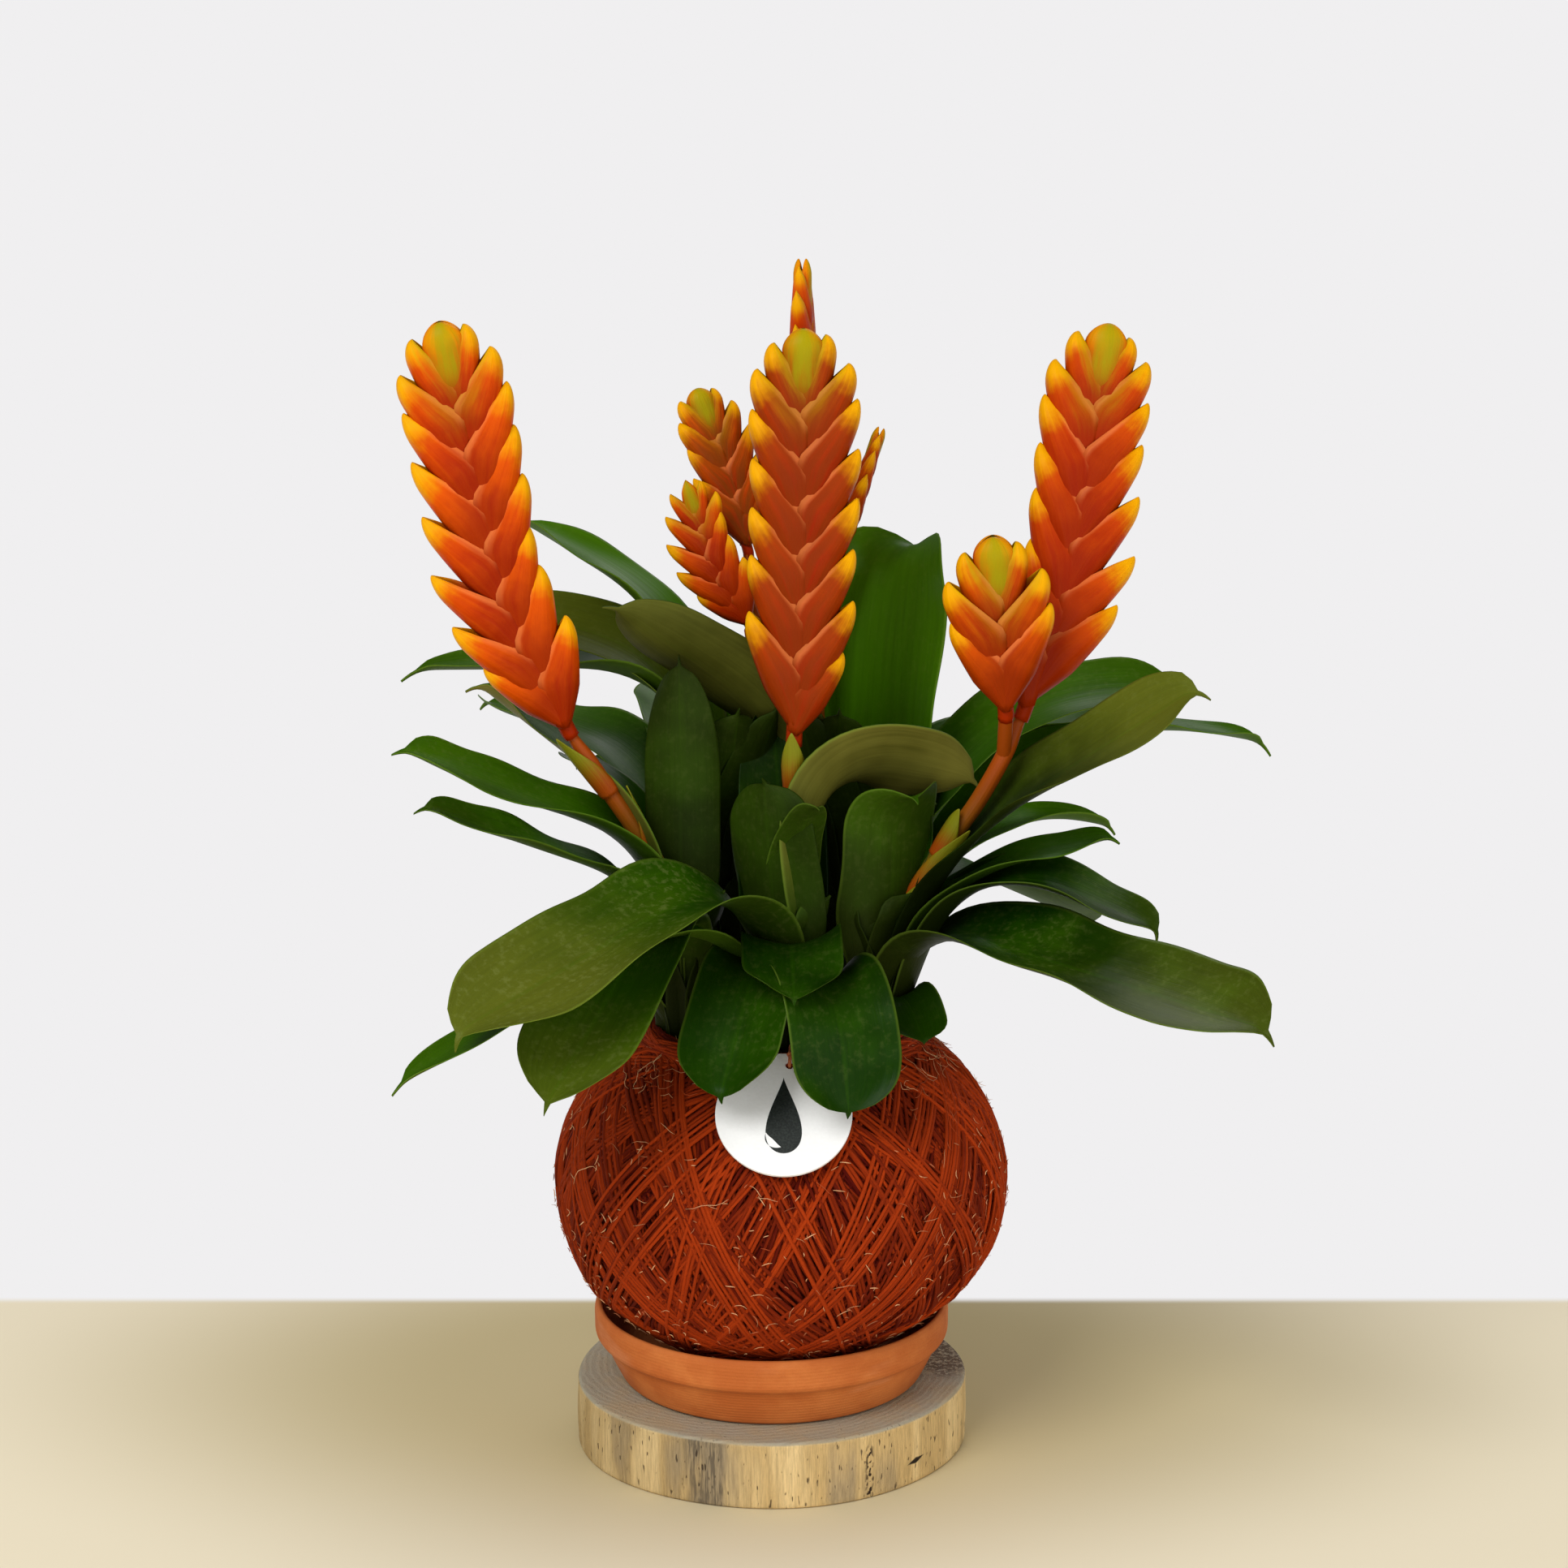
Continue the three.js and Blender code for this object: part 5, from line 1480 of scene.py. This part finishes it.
class KOKEDAMA_OT_stage(bpy.types.Operator):
    """Pale floor with painted shadow round the object, soft studio light and the camera"""

    bl_idname = "kokedama.stage"
    bl_label = "Stage"

    def execute(self, context):
        look = look_of(context)
        scene = context.scene
        scene.view_settings.view_transform = "Standard"
        floor_finish = Finish("pale_floor", roughness=0.9, specular_ior_level=0.1)
        x, y, _ = floor_finish.parts(floor_finish.position())
        away = ((x * 0.6) ** 2 + (y - 0.05) ** 2) ** 0.5
        # Darker beige round the object is a painted shadow, paler further away
        shade = floor_finish.blend(away.step(0.07, 0.2), look.floor_near, look.floor_far)
        floor_finish.connect("Base Color", shade)
        behind = y.step(FLOOR_EDGE - 0.004, FLOOR_EDGE + 0.004)
        beyond = (x**2 + y**2).step(0.2, 0.8)
        floor_finish.glow(behind + beyond * (1 - behind), look.backdrop)
        bpy.ops.mesh.primitive_circle_add(vertices=96, radius=60, fill_type="NGON", location=(0, 0, 0))
        floor = context.object
        floor.name = "floor"
        floor.data.materials.append(floor_finish.material)
        scene.world = studio_world(look)
        lamps = (
            ("key", (-0.9, -1.5, 1.7), 1.1, look.key_power),
            ("fill", (1.4, -1.2, 0.8), 1.4, look.key_power * 0.25),
            ("low", (0.1, -1.9, 0.12), 1.2, look.key_power * 0.3),
            ("rim", (0.5, 1.5, 1.4), 1.2, look.key_power * 0.25),
        )
        for name, place, size, power in lamps:
            lamp = bpy.data.lights.new(name, "AREA")
            lamp.size = size
            lamp.energy = power
            thing = bpy.data.objects.new(name, lamp)
            scene.collection.objects.link(thing)
            aim(thing, place, (0, 0, 0.2))
        camera = bpy.data.cameras.new("camera")
        camera.lens = look.lens
        camera.sensor_width = 36
        camera.clip_start = 0.05
        eye = bpy.data.objects.new("camera", camera)
        scene.collection.objects.link(eye)
        eye.location = CAMERA_PLACE
        eye.rotation_euler = (math.pi / 2 - look.camera_pitch, 0, 0)
        scene.camera = eye
        return {"FINISHED"}


# Settings, panel and registration


def number_property(name, description, default, **kind):
    return FloatProperty(name=name, description=description, default=default, min=0.01, **kind)


def colour_property(name, description, shade):
    return FloatVectorProperty(
        name=name, description=description, default=colour(shade), size=4, min=0, max=1, subtype="COLOR"
    )


class KokedamaSettings(bpy.types.PropertyGroup):
    """Sizes and colours of the kokedama. Lengths are in millimetres."""

    yarn_width: number_property("Yarn width", "Width of the coir yarn in millimetres", 1.5)
    band_count: IntProperty(name="Bands", description="Bands of yarn round the ball", default=106, min=8)
    band_tilt: number_property("Band tilt", "Tilt of a band's axis", math.radians(68), subtype="ANGLE")
    fibre_count: IntProperty(name="Fibres", description="Loose bits of coir on the ball", default=750, min=12)
    # The deep coir colour stands partly for painted shade in the gaps between the bands
    coir_deep: colour_property("Coir, deep", "Coir in the gaps", "#4e0700")
    coir_light: colour_property("Coir, light", "Coir on the crests", "#aa3807")
    straw: colour_property("Straw", "Pale fibres", "#f0bd8a")
    leaf_thickness: number_property("Leaf thickness", "Thickness of a leaf in millimetres", 0.8)
    leaf_deep: colour_property("Leaf, deep", "Darkest green", "#0d2a00")
    leaf_bright: colour_property("Leaf, bright", "Brightest green", "#3c6c00")
    leaf_old: colour_property("Leaf, old", "Olive of older leaves", "#586018")
    leaf_mottle: colour_property("Mottle", "Pale mottles on the leaves", "#8b9450")
    leaf_edge: colour_property("Leaf edge", "Thin pale edge of a leaf", "#7f9a34")
    underside_deep: colour_property("Underside, deep", "Dark veins below", "#4c4a14")
    underside_light: colour_property("Underside, light", "Khaki between the veins", "#706c2a")
    bract_deep: colour_property("Bract, deep", "Foot of a bract", "#8a1c00")
    bract: colour_property("Bract", "Body of a bract", "#bc3000")
    bract_light: colour_property("Bract, light", "Orange of a bract", "#dc5400")
    bract_tip: colour_property("Bract tip", "Yellow of the tips", "#e6a200")
    bract_olive: colour_property("Bract, olive", "Dark olive of the last spike to open", "#4c4408")
    bract_edge: colour_property("Bract edge", "Pale line along a bract's margin", "#f08a4a")
    bract_green: colour_property("Young bract", "Olive of the youngest bracts", "#989408")
    sheath: colour_property("Sheath", "Olive of the sheaths", "#7c7c14")
    stem: colour_property("Stem", "Orange of the flower stems", "#9a4206")
    clay_deep: colour_property("Clay, deep", "Darker terracotta", "#b86026")
    clay_light: colour_property("Clay, light", "Lighter terracotta", "#ca7436")
    wood_tan: colour_property("Wood, tan", "Main wood colour", "#c4a670")
    wood_grey: colour_property("Wood, grey", "Weathered patches", "#9c8a6c")
    wood_cream: colour_property("Wood, cream", "Pale patches", "#dcc08a")
    wood_top: colour_property("Wood, top", "Weathered top of the slice", "#b0a892")
    ink: colour_property("Ink", "Print on the tag", "#101614")
    # The near floor colour is a painted shadow round the object
    floor_near: colour_property("Floor, near", "Floor round the object", "#c8b88e")
    floor_far: colour_property("Floor, far", "Floor further away", "#f2e6ca")
    backdrop: colour_property("Backdrop", "Plain ground behind the object", "#f0eff0")
    key_power: number_property("Key light", "Power of the key light", 32, unit="POWER")
    sky_strength: number_property("Sky", "Strength of the even light", 0.38)
    lens: number_property("Lens", "Focal length in millimetres", 74.1, unit="CAMERA")
    camera_pitch: number_property(
        "Pitch", "Camera's angle below the level", math.radians(11.7), subtype="ANGLE"
    )


class KOKEDAMA_PT_panel(bpy.types.Panel):
    """Lists the pieces of the kokedama"""

    bl_label = "Kokedama"
    bl_idname = "KOKEDAMA_PT_panel"
    bl_space_type = "VIEW_3D"
    bl_region_type = "UI"
    bl_category = "Kokedama"

    def draw(self, context):
        for operator in OPERATORS:
            self.layout.operator(operator.bl_idname)
        for name in KokedamaSettings.__annotations__:
            self.layout.prop(context.scene.kokedama, name)


OPERATORS = (
    KOKEDAMA_OT_stage,
    KOKEDAMA_OT_wood_slice,
    KOKEDAMA_OT_clay_dish,
    KOKEDAMA_OT_coir_ball,
    KOKEDAMA_OT_loose_fibres,
    KOKEDAMA_OT_soil,
    KOKEDAMA_OT_tag,
    KOKEDAMA_OT_leaves,
    KOKEDAMA_OT_flower_stems,
    KOKEDAMA_OT_flower_spikes,
)
CLASSES = (KokedamaSettings, *OPERATORS, KOKEDAMA_PT_panel)


def register():
    for item in CLASSES:
        bpy.utils.register_class(item)
    bpy.types.Scene.kokedama = PointerProperty(type=KokedamaSettings)


def unregister():
    del bpy.types.Scene.kokedama
    for item in reversed(CLASSES):
        bpy.utils.unregister_class(item)


def main():
    register()
    bpy.ops.kokedama.stage()
    bpy.ops.kokedama.wood_slice()
    bpy.ops.kokedama.clay_dish()
    bpy.ops.kokedama.coir_ball()
    bpy.ops.kokedama.loose_fibres()
    bpy.ops.kokedama.soil()
    bpy.ops.kokedama.tag()
    bpy.ops.kokedama.leaves()
    bpy.ops.kokedama.flower_stems()
    bpy.ops.kokedama.flower_spikes()


if __name__ == "__main__":
    main()
